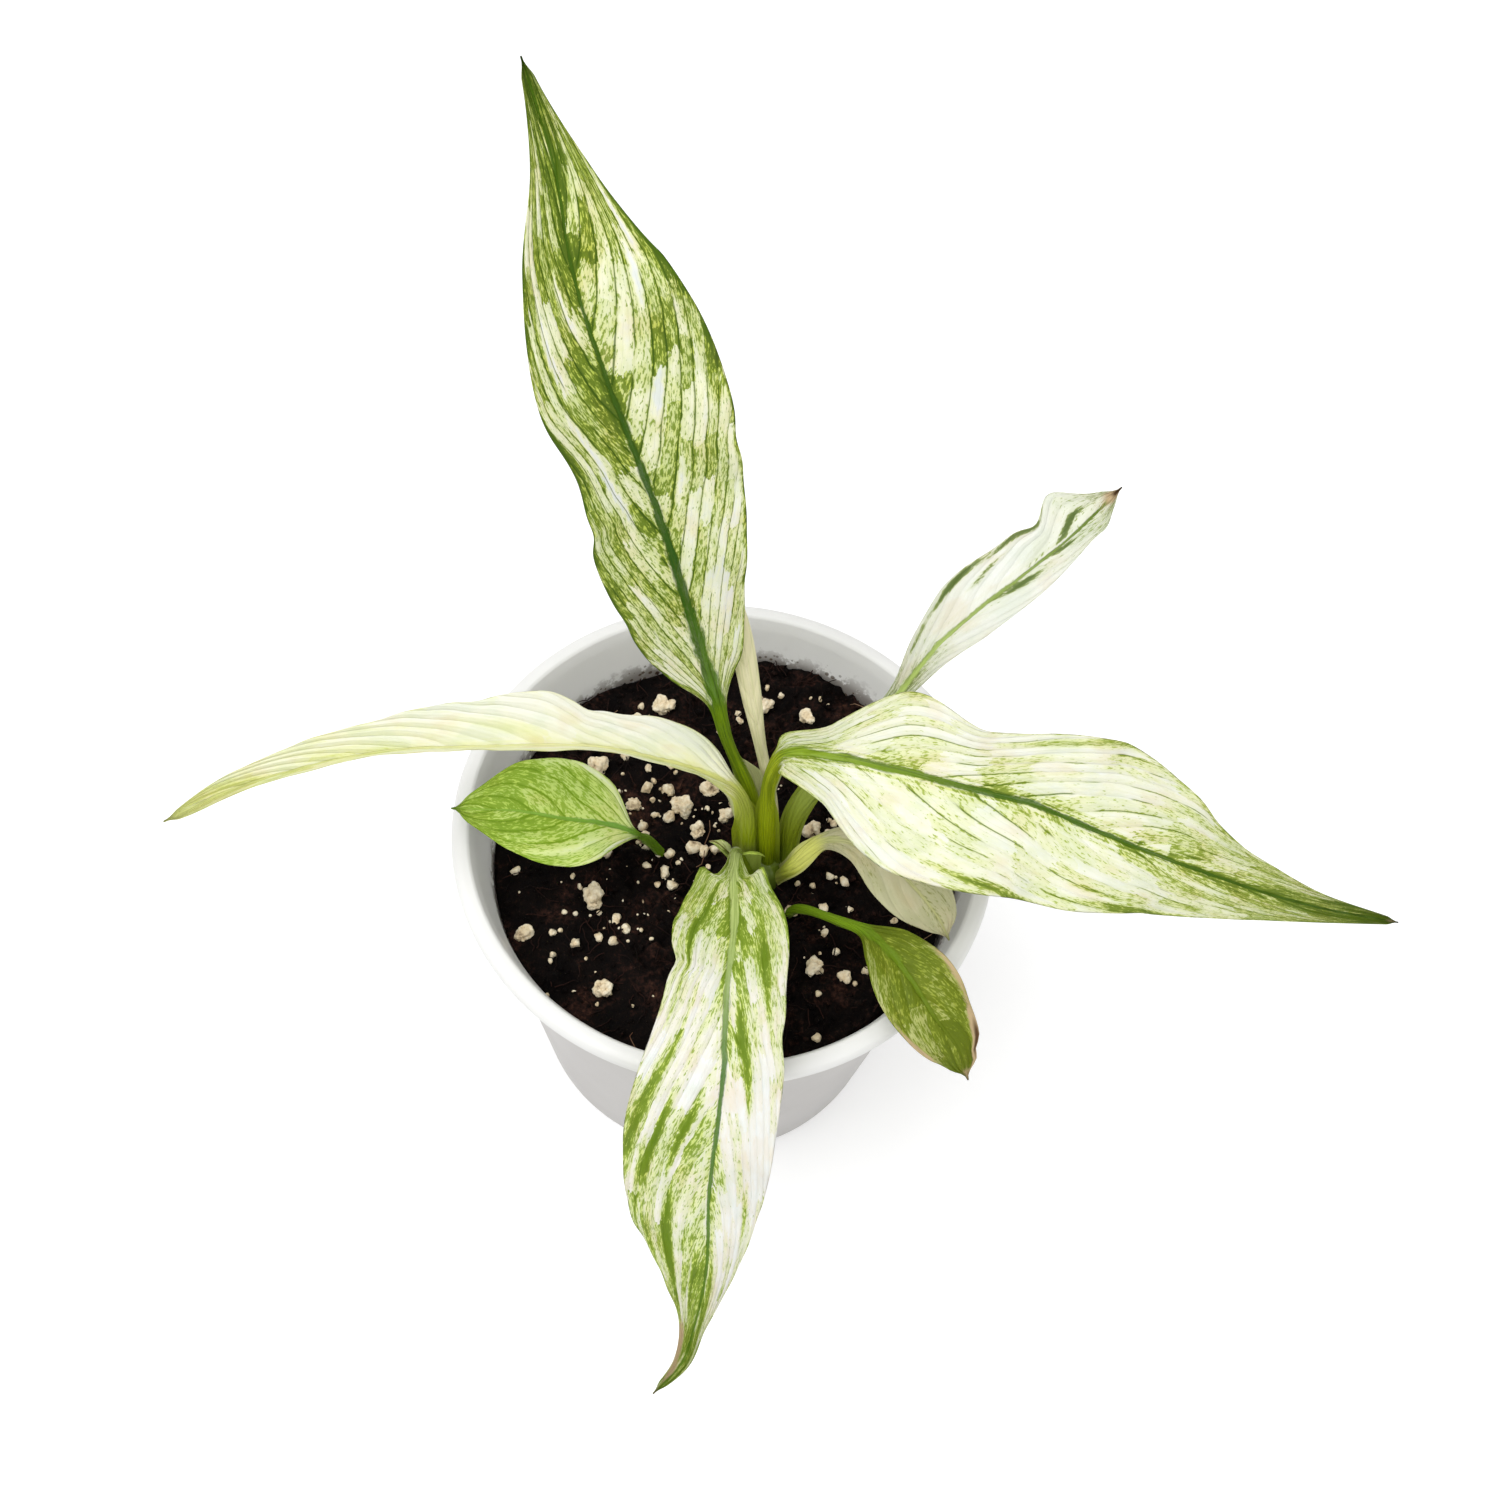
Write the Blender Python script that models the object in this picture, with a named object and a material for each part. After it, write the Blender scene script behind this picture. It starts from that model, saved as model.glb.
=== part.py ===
"""A small variegated peace lily in a white plastic nursery pot.

The plant, the potting mix and the pot are separate pieces in one frame: metres, +Z up, and the
origin at the centre of the pot's flat underside. Lengths below are in millimetres until they
reach a mesh. Every leaf is one loft, from the foot of its stalk to the tip of its blade.
"""

import math
import random

import bmesh
import bpy
import numpy as np
from mathutils import Vector

MM = 0.001
GAP = 0.3
WELD = 0.00001
SHARP_ANGLE = math.radians(50)
SEED = 11

# Pot: a turned shell, open at the top.
POT_HEIGHT = 86.0
POT_FOOT_RADIUS = 41.0
POT_SHOULDER_RADIUS = 49.4
POT_SHOULDER_HEIGHT = 75.0
POT_MIDDLE = 40.0
POT_MOUTH_RADIUS = 51.4
POT_LIP_RADIUS = 55.0
POT_WALL = 1.0
POT_FLOOR = 1.4
POT_SIDES = 48
DRAIN_COUNT = 6
DRAIN_START = 0.54
DRAIN_RADIUS = 4.5
DRAIN_CIRCLE = 27.0
DRAIN_SIDES = 12

# Potting mix: a plug that fills the pot to a little below its lip.
SOIL_LEVEL = 74.0
SOIL_FOOT = POT_FLOOR + GAP
SOIL_SIDES = 36
SOIL_RINGS = 8
SOIL_BUMP = 1.1
SOIL_SLOPE = 0.08
SOIL_CALM_RADIUS = 16.0
SOIL_WAVES = 7

# Crown: the short stem base that the stalks rise from.
CROWN_CENTRE = (8.7, -4.0)
CROWN_FOOT = 69.0
CROWN_SIDES = 20
CROWN_PROFILE = (
    (69.0, 5.0),
    (71.0, 6.2),
    (74.0, 6.8),
    (77.0, 6.6),
    (80.0, 6.1),
    (82.0, 5.2),
    (83.4, 3.2),
)
CROWN_TOP = 84.0
CROWN_LOBES = ((3, 0.05, 0.8), (5, 0.03, 0.0))

# Leaves.
BLADE_HALF_THICKNESS = 0.45
BLADE_BLEND = 12.0
TIP_TAPER = 6.0
EDGE_LEAST = 0.4
SECTION_POINTS = 12
ROOT_DEPTH = 9.0
FOOT_RINGS = 4

# Each station is x, y, z, the half-width left and right of the midrib and the fold in degrees.
# "face" is where the upper side looks, first at the foot and then at the tip.
LEAVES = {
    "leaf_tall": {
        "rings": 24,
        "face": ((0.2, -0.8, 0.6), (0.1, -0.7, 0.7)),
        "stalk": 1.6,
        "blade_from": 3,
        "stations": (
            (7.1, -0.4, 78, 1.5, 1.5, 0),
            (4.6, 2.2, 92, 1.5, 1.5, 0),
            (-2, 6, 110, 1.3, 1.3, 0),
            (-4, 8, 117, 2, 2, 10),
            (-7, 11, 126, 8, 7, 20),
            (-12, 15, 142, 13, 12, 24),
            (-17, 19, 157, 14, 16, 24),
            (-21, 21, 169, 11.5, 18, 22),
            (-26, 24, 182, 12.5, 19, 20),
            (-32, 30, 199, 8, 14.5, 18),
            (-35, 37, 210, 4, 5.5, 14),
            (-39, 45, 216, 1.6, 1.8, 8),
            (-42, 51, 219, 0.5, 0.5, 0),
        ),
    },
    "leaf_right": {
        "rings": 24,
        "face": ((-0.6, -0.35, 0.7), (0.1, -0.4, 0.9)),
        "stalk": 1.7,
        "blade_from": 3,
        "stations": (
            (9.3, -3.8, 78, 1.6, 1.6, 0),
            (8.2, -2.6, 92, 1.7, 1.7, 0),
            (8, 0, 104, 1.6, 1.6, 0),
            (10, 1, 112, 2.2, 2.5, 8),
            (19, -2, 118, 8, 9, 12),
            (30, -5, 121, 14.5, 17.5, 12),
            (44, -8, 122, 11, 19, 12),
            (55, -9, 121, 14, 18, 12),
            (66, -11, 118, 17, 16, 12),
            (75, -12, 115, 15.5, 13, 12),
            (93, -12, 107, 8, 8, 10),
            (110, -11, 99, 4, 4, 6),
            (137, -5, 84, 0.5, 0.5, 0),
        ),
    },
    "leaf_front": {
        "rings": 24,
        "face": ((0, -0.6, 0.8), (0, -0.7, 0.7)),
        "stalk": 1.4,
        "blade_from": 1,
        "stations": (
            (5.8, -7.4, 78, 1.3, 1.3, 0),
            (2.8, -8.2, 88, 1.1, 1.1, 3),
            (2.9, -13.3, 91.3, 2.2, 2.2, 8),
            (3, -16.3, 92.7, 3.6, 3.8, 12),
            (3.1, -17.8, 93.4, 5.2, 5.6, 14),
            (4, -27, 96, 9.7, 11.2, 16),
            (4, -42, 97, 11.2, 11.4, 14),
            (5, -55, 93, 11.2, 15.4, 12),
            (5, -63, 87, 11, 17, 12),
            (5, -73, 74, 10, 15, 12),
            (6, -84, 60, 5, 8, 10),
            (5, -91, 50, 2.2, 3, 8),
            (3.5, -96, 42, 1.6, 1.8, 5),
            (-1.5, -101, 34, 0.5, 0.5, 0),
        ),
    },
    "leaf_left": {
        "rings": 22,
        "face": ((0.5, 0.2, 0.8), (0, -0.1, 1)),
        "stalk": 1.7,
        "blade_from": 2,
        "stations": (
            (5.4, -3.6, 78, 1.6, 1.6, 0),
            (3.4, -2.2, 94, 2.2, 2.2, 0),
            (0, -1.5, 102, 2.4, 3, 12),
            (-6, -1.5, 107, 3.4, 6.8, 36),
            (-12, -2, 110, 5.8, 8, 46),
            (-23, -3, 114, 8, 7.4, 52),
            (-34, -5, 116, 9.6, 10.6, 54),
            (-46, -7, 116, 9, 10, 56),
            (-63, -9.5, 115, 6.5, 7, 56),
            (-79, -13, 111, 4.5, 5, 52),
            (-94, -17, 105, 2.8, 2.8, 40),
            (-105, -21, 99, 0.5, 0.5, 0),
        ),
    },
    "leaf_small_left": {
        "rings": 16,
        "face": ((0.4, 0, 0.9), (0, -0.2, 1)),
        "stalk": 1.1,
        "blade_from": 2,
        "stations": (
            (-12, -1, 69, 1.1, 1.1, 0),
            (-15.5, -3, 79.5, 1.1, 1.1, 0),
            (-18.5, -5.7, 87, 1.6, 1.6, 8),
            (-24, -6, 90, 8, 9, 12),
            (-32, -7, 92, 11, 12, 12),
            (-41, -7, 93, 8.8, 10, 12),
            (-48, -7, 92, 4.4, 5.2, 8),
            (-54, -7, 91, 0.5, 0.5, 0),
        ),
    },
    "leaf_back_right": {
        "rings": 24,
        "face": ((-0.4, -0.4, 0.8), (-0.2, -0.5, 0.8)),
        "stalk": 1.1,
        "blade_from": 3,
        "stations": (
            (13.1, -2.8, 78, 1.4, 1.4, 0),
            (13.8, 1.4, 89, 1.8, 1.8, 0),
            (17, 5, 96, 1.7, 1.7, 0),
            (24.8, 12, 106, 1.5, 1.5, 4),
            (31, 17, 114, 2.2, 2, 8),
            (36, 22, 122, 5, 4, 16),
            (43, 27, 129, 8, 5.5, 18),
            (50, 32, 134, 7.5, 5.5, 18),
            (59, 39, 140, 6.5, 3.5, 14),
            (67, 48, 144, 0.5, 0.5, 0),
        ),
    },
    "leaf_under_right": {
        "rings": 16,
        "face": ((-0.5, -0.3, 0.8), (0, -0.3, 1)),
        "stalk": 1.1,
        "blade_from": 2,
        "stations": (
            (12.6, -6.6, 78, 1.3, 1.3, 0),
            (15, -8, 86, 1.8, 1.8, 0),
            (20, -5.5, 92, 1.8, 1.8, 4),
            (26, -7.5, 96, 4, 3.6, 12),
            (33, -11.5, 96.5, 6, 6.8, 12),
            (39, -16.5, 95, 6, 6.6, 10),
            (43, -20, 92.5, 4, 3.8, 6),
            (45.5, -23, 90, 0.5, 0.5, 0),
        ),
    },
    "leaf_small_front_right": {
        "rings": 22,
        "face": ((-0.4, 0.2, 0.9), (0.2, -0.4, 0.9)),
        "stalk": 1.0,
        "blade_from": 3,
        "stations": (
            (14, -12.5, 70, 1, 1, 0),
            (16.5, -15, 80, 1, 1, 0),
            (24, -21, 89, 1, 1, 0),
            (29, -24, 92, 1.6, 1.6, 6),
            (33, -28, 94, 5, 5, 14),
            (38, -34, 94, 8, 8, 14),
            (43, -40, 92, 7.5, 7.5, 12),
            (48, -44, 88, 5, 5, 8),
            (51, -48, 83, 0.5, 0.5, 0),
        ),
    },
    "leaf_pale_behind": {
        "rings": 13,
        "face": ((0.2, -0.8, 0.6), (0.1, -0.7, 0.7)),
        "stalk": 1.2,
        "blade_from": 5,
        "stations": (
            (10.6, -0.1, 78, 1.2, 1.2, 0),
            (8.6, 3.6, 91, 1.4, 1.4, 0),
            (5.2, 7.5, 104, 1.9, 1.9, 0),
            (2, 11.5, 117, 2.2, 2.2, 0),
            (-1, 15.5, 130, 1.6, 1.6, 0),
            (-3.5, 19, 141, 0.4, 0.4, 0),
        ),
    },
    "sheath_curl": {
        "rings": 10,
        "face": ((0.6, 0.2, 0.7), (0.2, 0, 1)),
        "stalk": 0.8,
        "blade_from": 1,
        "stations": (
            (3.6, -6, 76, 0.9, 0.9, 0),
            (2.2, -6.4, 81, 1.4, 1.4, 20),
            (0.6, -6.2, 85, 1.7, 1.7, 30),
            (-1.4, -5.6, 86.6, 1.2, 1.2, 20),
            (-2.8, -5, 85.6, 0.4, 0.4, 0),
        ),
    },
}
IN_SOIL = ("leaf_small_left", "leaf_small_front_right")

# Sheath: the green cup that wraps the front of the crown.
SHEATH_FROM = math.radians(246)
SHEATH_TO = math.radians(304)
SHEATH_STEPS = 9
SHEATH_THICKNESS = 0.7
SHEATH_DIP_FROM = 5.0
SHEATH_DIP = 0.25
SHEATH_PROFILE = (
    (74.6, 7.7),
    (77.0, 7.7),
    (79.5, 7.3),
    (82.0, 6.9),
    (84.0, 7.0),
    (85.3, 7.6),
    (86.0, 8.6),
)

# Perlite: x, y and the mean radius of each of the larger grains.
PERLITE = (
    (-10, 10, 2.3),
    (-4, 14.5, 1.7),
    (0, 8, 1.5),
    (-5.5, 4, 1.6),
    (-20, 9, 1.6),
    (-29, 17, 1.7),
    (-16.5, 34, 2.0),
    (-22, 30.5, 1.5),
    (5.5, 36, 1.6),
    (15, 33, 1.7),
    (-25, -13.5, 2.0),
    (-38, -23, 1.6),
    (-20.5, -33, 1.8),
    (18, 6, 1.7),
    (21, -25, 1.8),
    (27, -26, 1.4),
    (36, -8, 1.5),
)
PERLITE_RISE = 0.35
GRAIN_FOOT = 0.8
GRAIN_ROUGHNESS = 0.16
DENT_SIDES = 8
DENT_ABOVE = 4.0

COLOURS = {
    "pot": (0.83, 0.83, 0.81),
    "soil": (0.05, 0.035, 0.025),
    "crown": (0.20, 0.30, 0.06),
    "sheath": (0.22, 0.34, 0.07),
    "perlite": (0.80, 0.74, 0.62),
    "leaf_tall": (0.42, 0.55, 0.16),
    "leaf_right": (0.80, 0.80, 0.58),
    "leaf_front": (0.80, 0.78, 0.62),
    "leaf_left": (0.78, 0.76, 0.52),
    "leaf_small_left": (0.30, 0.45, 0.10),
    "leaf_back_right": (0.62, 0.68, 0.48),
    "leaf_under_right": (0.58, 0.56, 0.36),
    "leaf_small_front_right": (0.16, 0.24, 0.03),
    "leaf_pale_behind": (0.78, 0.74, 0.42),
}
ROUGHNESS = {"pot": 0.38, "soil": 0.95, "perlite": 0.9}
LEAF_ROUGHNESS = 0.42


def clear_scene():
    """Take out whatever the file opened with."""
    for piece in list(bpy.data.objects):
        bpy.data.objects.remove(piece, do_unlink=True)


def material(name):
    """The named material, made once."""
    found = bpy.data.materials.get(name)
    if found:
        return found
    made = bpy.data.materials.new(name)
    made.use_nodes = True
    shader = made.node_tree.nodes["Principled BSDF"]
    shader.inputs["Base Color"].default_value = (*COLOURS[name], 1.0)
    shader.inputs["Roughness"].default_value = ROUGHNESS.get(name, LEAF_ROUGHNESS)
    shader.inputs["Metallic"].default_value = 0.0
    return made


def empty(name, place, parent=None):
    """An empty that pieces hang from, at a place in millimetres."""
    made = bpy.data.objects.new(name, None)
    made.location = Vector(place) * MM
    made.parent = parent
    bpy.context.scene.collection.objects.link(made)
    return made


def add_piece(name, bm, slot, place=(0, 0, 0), parent=None, smooth=True):
    """Turn bm, which is in millimetres around its own foot, into an object at place.

    Its faces are made flat triangles, so that a cut leaves the same corners every time.
    """
    bmesh.ops.scale(bm, vec=(MM, MM, MM), verts=bm.verts)
    bmesh.ops.remove_doubles(bm, verts=bm.verts, dist=WELD)
    bmesh.ops.recalc_face_normals(bm, faces=bm.faces)
    bmesh.ops.triangulate(bm, faces=bm.faces[:])
    mesh = bpy.data.meshes.new(name)
    bm.to_mesh(mesh)
    bm.free()
    if smooth:
        mesh.shade_smooth()
        mesh.set_sharp_from_angle(angle=SHARP_ANGLE)
    mesh.materials.append(material(slot))
    piece = bpy.data.objects.new(name, mesh)
    piece.location = Vector(place) * MM
    piece.parent = parent
    bpy.context.scene.collection.objects.link(piece)
    return piece


def cut(piece, cutter):
    """Subtract cutter from piece, and keep the cutter out of the picture."""
    cutter.hide_render = True
    cutter.display_type = "WIRE"
    subtract = piece.modifiers.new(cutter.name, "BOOLEAN")
    subtract.operation = "DIFFERENCE"
    subtract.solver = "EXACT"
    subtract.object = cutter


def turned(profile, sides, start=0.0, sweep=math.tau, closed=False):
    """A profile of (radius, height) points spun about Z. A closed one makes a ring or an arc."""
    bm = bmesh.new()
    along = Vector((math.cos(start), math.sin(start), 0.0))
    chain = [bm.verts.new(along * radius + Vector((0, 0, height))) for radius, height in profile]
    links = list(zip(chain, chain[1:]))
    if closed:
        links.append((chain[-1], chain[0]))
    edges = [bm.edges.new(link) for link in links]
    whole = abs(sweep - math.tau) < 1e-6
    bmesh.ops.spin(
        bm, geom=chain + edges, axis=(0, 0, 1), angle=sweep, steps=sides, use_merge=whole
    )
    if not whole:
        bmesh.ops.holes_fill(bm, edges=[edge for edge in bm.edges if edge.is_boundary])
    bmesh.ops.remove_doubles(bm, verts=bm.verts, dist=WELD / MM)
    return bm


def cylinder(radius, low, high, sides):
    """An upright cylinder between two heights."""
    bm = bmesh.new()
    bmesh.ops.create_cone(
        bm, cap_ends=True, segments=sides, radius1=radius, radius2=radius, depth=high - low
    )
    bmesh.ops.translate(bm, vec=(0, 0, (low + high) / 2), verts=bm.verts)
    return bm


def hermite(values, places, where):
    """A smooth track through values at places, read at where."""
    slopes = np.gradient(values, places, axis=0)
    index = np.clip(np.searchsorted(places, where, side="right") - 1, 0, len(places) - 2)
    span = places[index + 1] - places[index]
    t = ((where - places[index]) / span)[:, None]
    span = span[:, None]
    return (
        (2 * t**3 - 3 * t**2 + 1) * values[index]
        + (t**3 - 2 * t**2 + t) * slopes[index] * span
        + (3 * t**2 - 2 * t**3) * values[index + 1]
        + (t**3 - t**2) * slopes[index + 1] * span
    )


def unit(vectors):
    """Vectors at length one."""
    return vectors / np.linalg.norm(vectors, axis=-1, keepdims=True)


def leaf_rings(spec, grow, length):
    """The cross-sections of a leaf or of its foot, each a list of points around the foot."""
    stations = np.array(spec["stations"], float)
    stations[:, :3] -= stations[0, :3]
    steps = np.linalg.norm(np.diff(stations[:, :3], axis=0), axis=1)
    places = np.concatenate([[0.0], np.cumsum(steps)])
    whole = places[-1]
    where = np.linspace(0.0, length or whole, spec["rings"] if length is None else FOOT_RINGS)
    track = hermite(stations, places, where)
    ahead = hermite(stations, places, np.minimum(where + 0.1, whole))[:, :3]
    behind = hermite(stations, places, np.maximum(where - 0.1, 0.0))[:, :3]
    tangent = unit(ahead - behind)
    first, last = (np.array(way, float) for way in spec["face"])
    share = (where / whole)[:, None]
    side = unit(np.cross(tangent, first * (1 - share) + last * share))
    normal = np.cross(side, tangent)
    track[0, :3] -= tangent[0] * grow
    blade = np.clip((where - places[spec["blade_from"]]) / BLADE_BLEND + 0.5, 0.0, 1.0)
    half = spec["stalk"] * (1 - blade) + BLADE_HALF_THICKNESS * blade
    half *= np.clip((whole - where) / TIP_TAPER, 0.25, 1.0)
    rings = []
    for ring in range(len(where)):
        left, right = np.maximum(track[ring, 3:5], EDGE_LEAST) + grow
        fold = math.radians(track[ring, 5])
        thick = min(half[ring] + grow, max(left, right))
        points = []
        for step in range(SECTION_POINTS):
            angle = math.tau * step / SECTION_POINTS
            across = math.cos(angle)
            reach = across * (right if across > 0 else left)
            lift = (math.hypot(reach, 1.0) - 1.0) * math.sin(fold)
            up = math.copysign(abs(math.sin(angle)) ** 0.8, math.sin(angle)) * thick
            offset = side[ring] * reach * math.cos(fold) + normal[ring] * (lift + up)
            points.append(track[ring, :3] + offset)
        rings.append(points)
    return rings


def leaf_loft(spec, grow=0.0, length=None):
    """A leaf bridged from section to section. grow thickens it, length keeps only its foot."""
    bm = bmesh.new()
    loops = []
    for points in leaf_rings(spec, grow, length):
        verts = [bm.verts.new(point) for point in points]
        loops.append([bm.edges.new(pair) for pair in zip(verts, verts[1:] + verts[:1])])
        if len(loops) > 1:
            bmesh.ops.bridge_loops(bm, edges=loops[-2] + loops[-1])
    bmesh.ops.holes_fill(bm, edges=loops[0] + loops[-1])
    return bm


def wall_radius(height):
    """The pot's outer radius below the lip."""
    share = height / POT_SHOULDER_HEIGHT
    return POT_FOOT_RADIUS + (POT_SHOULDER_RADIUS - POT_FOOT_RADIUS) * share


def make_pot():
    """The turned shell with its rolled lip and drain holes."""
    inner_foot = wall_radius(POT_FLOOR) - POT_WALL
    profile = (
        (0.0, 0.0),
        (POT_FOOT_RADIUS - 1.2, 0.0),
        (POT_FOOT_RADIUS - 0.35, 0.35),
        (wall_radius(1.2), 1.2),
        (wall_radius(POT_MIDDLE), POT_MIDDLE),
        (POT_SHOULDER_RADIUS, POT_SHOULDER_HEIGHT),
        (51.4, 83.0),
        (52.2, 84.6),
        (53.6, 84.4),
        (54.1, 83.2),
        (54.8, 82.9),
        (POT_LIP_RADIUS, 83.4),
        (POT_LIP_RADIUS, 84.6),
        (54.5, 85.5),
        (53.4, POT_HEIGHT),
        (51.9, POT_HEIGHT),
        (POT_MOUTH_RADIUS, 85.6),
        (50.4, 83.0),
        (POT_SHOULDER_RADIUS - POT_WALL, POT_SHOULDER_HEIGHT),
        (wall_radius(POT_MIDDLE) - POT_WALL, POT_MIDDLE),
        (inner_foot, POT_FLOOR + 0.6),
        (inner_foot - 0.6, POT_FLOOR),
        (0.0, POT_FLOOR),
    )
    pot = add_piece("pot", turned(profile, POT_SIDES), "pot")
    for hole in range(DRAIN_COUNT):
        turn = math.tau * (hole + DRAIN_START) / DRAIN_COUNT
        place = (DRAIN_CIRCLE * math.cos(turn), DRAIN_CIRCLE * math.sin(turn), 0.0)
        drain = cylinder(DRAIN_RADIUS, -2.0, POT_FLOOR + 2.0, DRAIN_SIDES)
        cut(pot, add_piece(f"cut_drain_{hole + 1}", drain, "pot", place, pot))
    return pot


def soil_height(x, y, waves):
    """The bumpy top of the mix, calm around the crown."""
    away = math.hypot(x - CROWN_CENTRE[0], y - CROWN_CENTRE[1])
    calm = min(1.0, max(0.0, (away - SOIL_CALM_RADIUS * 0.6) / SOIL_CALM_RADIUS))
    bump = sum(size * math.sin(kx * x + ky * y + phase) for size, kx, ky, phase in waves)
    slope = SOIL_SLOPE * (x - CROWN_CENTRE[0])
    return SOIL_LEVEL + slope + SOIL_BUMP * calm * bump


def soil_waves():
    """The waves that make up the bumps."""
    rng = random.Random(SEED)
    waves = []
    for _ in range(SOIL_WAVES):
        pitch = rng.uniform(0.12, 0.42)
        turn = rng.uniform(0.0, math.tau)
        size = rng.uniform(0.25, 0.5)
        phase = rng.uniform(0.0, math.tau)
        waves.append((size, pitch * math.cos(turn), pitch * math.sin(turn), phase))
    return waves


def make_soil(waves):
    """The plug of mix: a turned plug whose top is then pushed into bumps."""
    inset = POT_WALL + GAP
    rim = wall_radius(SOIL_LEVEL) - inset - 0.3
    profile = [
        (0.0, SOIL_FOOT),
        (wall_radius(SOIL_FOOT) - inset - 0.8, SOIL_FOOT),
        (wall_radius(4.0) - inset, 4.0),
        (wall_radius(POT_MIDDLE) - inset, POT_MIDDLE),
    ]
    for ring in range(SOIL_RINGS + 1):
        profile.append((rim * (1 - ring / SOIL_RINGS), SOIL_LEVEL))
    bm = turned(profile, SOIL_SIDES)
    for vert in bm.verts:
        if vert.co.z > SOIL_LEVEL - 1.0:
            vert.co.z = soil_height(vert.co.x, vert.co.y, waves)
            most = wall_radius(vert.co.z) - inset - 0.3
            if vert.co.xy.length > most:
                vert.co.xy *= most / vert.co.xy.length
    return add_piece("soil", bm, "soil")


def crown_body(grow=0.0):
    """The crown's turned body with shallow lobes, made larger by grow."""
    profile = [(0.0, -grow)]
    profile += [(radius + grow, height - CROWN_FOOT) for height, radius in CROWN_PROFILE]
    profile[1] = (profile[1][0], -grow)
    profile.append((0.0, CROWN_TOP - CROWN_FOOT + grow))
    bm = turned(profile, CROWN_SIDES)
    for vert in bm.verts:
        angle = math.atan2(vert.co.y, vert.co.x)
        lobe = 1 + sum(deep * math.cos(count * angle + turn) for count, deep, turn in CROWN_LOBES)
        vert.co.x *= lobe
        vert.co.y *= lobe
    return bm


def make_sheath(parent):
    """The thin cup around the front of the crown, its rolled lip dipping to the sides."""
    outer = [(radius + SHEATH_THICKNESS, height) for height, radius in reversed(SHEATH_PROFILE)]
    profile = [(radius, height) for height, radius in SHEATH_PROFILE] + outer
    profile = [(radius, height - SOIL_LEVEL) for radius, height in profile]
    sweep = SHEATH_TO - SHEATH_FROM
    bm = turned(profile, SHEATH_STEPS, SHEATH_FROM, sweep, closed=True)
    middle = Vector((math.cos(SHEATH_FROM + sweep / 2), math.sin(SHEATH_FROM + sweep / 2)))
    for vert in bm.verts:
        aside = vert.co.xy.angle(middle) / (sweep / 2)
        vert.co.z -= max(0.0, vert.co.z - SHEATH_DIP_FROM) * SHEATH_DIP * aside**2
    return add_piece("sheath_front", bm, "sheath", (0, 0, 0), parent)


def make_perlite(soil, waves):
    """The larger grains, each in its own dent in the mix."""
    for number, (x, y, radius) in enumerate(PERLITE, 1):
        rng = random.Random(SEED + number)
        place = (x, y, soil_height(x, y, waves) + radius * PERLITE_RISE)
        bm = bmesh.new()
        bmesh.ops.create_icosphere(bm, subdivisions=2, radius=radius)
        for vert in bm.verts:
            vert.co *= 1 + rng.uniform(-GRAIN_ROUGHNESS, GRAIN_ROUGHNESS / 2)
            vert.co.z *= GRAIN_FOOT
        add_piece(f"perlite_{number:02d}", bm, "perlite", place, soil, smooth=False)
        foot = -radius * GRAIN_FOOT * (1 + GRAIN_ROUGHNESS / 2) - GAP
        bm = cylinder(radius * (1 + GRAIN_ROUGHNESS / 2) * 1.09 + GAP, foot, DENT_ABOVE, DENT_SIDES)
        cut(soil, add_piece(f"cut_perlite_{number:02d}", bm, "perlite", place, soil))


def make_leaf(name, spec, plant):
    """One leaf from its stalk's foot to its tip, hung from the plant."""
    slot = name if name in COLOURS else "sheath"
    add_piece(name, leaf_loft(spec), slot, foot_of(spec), plant)


def foot_of(spec):
    """Where a leaf starts, counted from the middle of the crown at soil level."""
    return tuple(np.array(spec["stations"][0][:3], float) - (*CROWN_CENTRE, SOIL_LEVEL))


def main():
    clear_scene()
    waves = soil_waves()
    pot = make_pot()
    soil = make_soil(waves)
    soil.parent = pot
    plant = empty("plant", (*CROWN_CENTRE, SOIL_LEVEL), pot)
    crown_place = (0.0, 0.0, CROWN_FOOT - SOIL_LEVEL)
    crown = add_piece("crown", crown_body(), "crown", crown_place, plant)
    cut(soil, add_piece("cut_crown", crown_body(GAP), "crown", crown_place, plant))
    make_sheath(plant)
    for name, spec in LEAVES.items():
        make_leaf(name, spec, plant)
        carrier = soil if name in IN_SOIL else crown
        socket = leaf_loft(spec, GAP, ROOT_DEPTH)
        cut(carrier, add_piece(f"cut_{name}", socket, "crown", foot_of(spec), plant))
    make_perlite(soil, waves)


main()
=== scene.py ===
"""A potted peace lily with variegated leaves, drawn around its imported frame."""

import math
import random

import bmesh
import bpy
import numpy as np
from mathutils import Matrix, Vector


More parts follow.
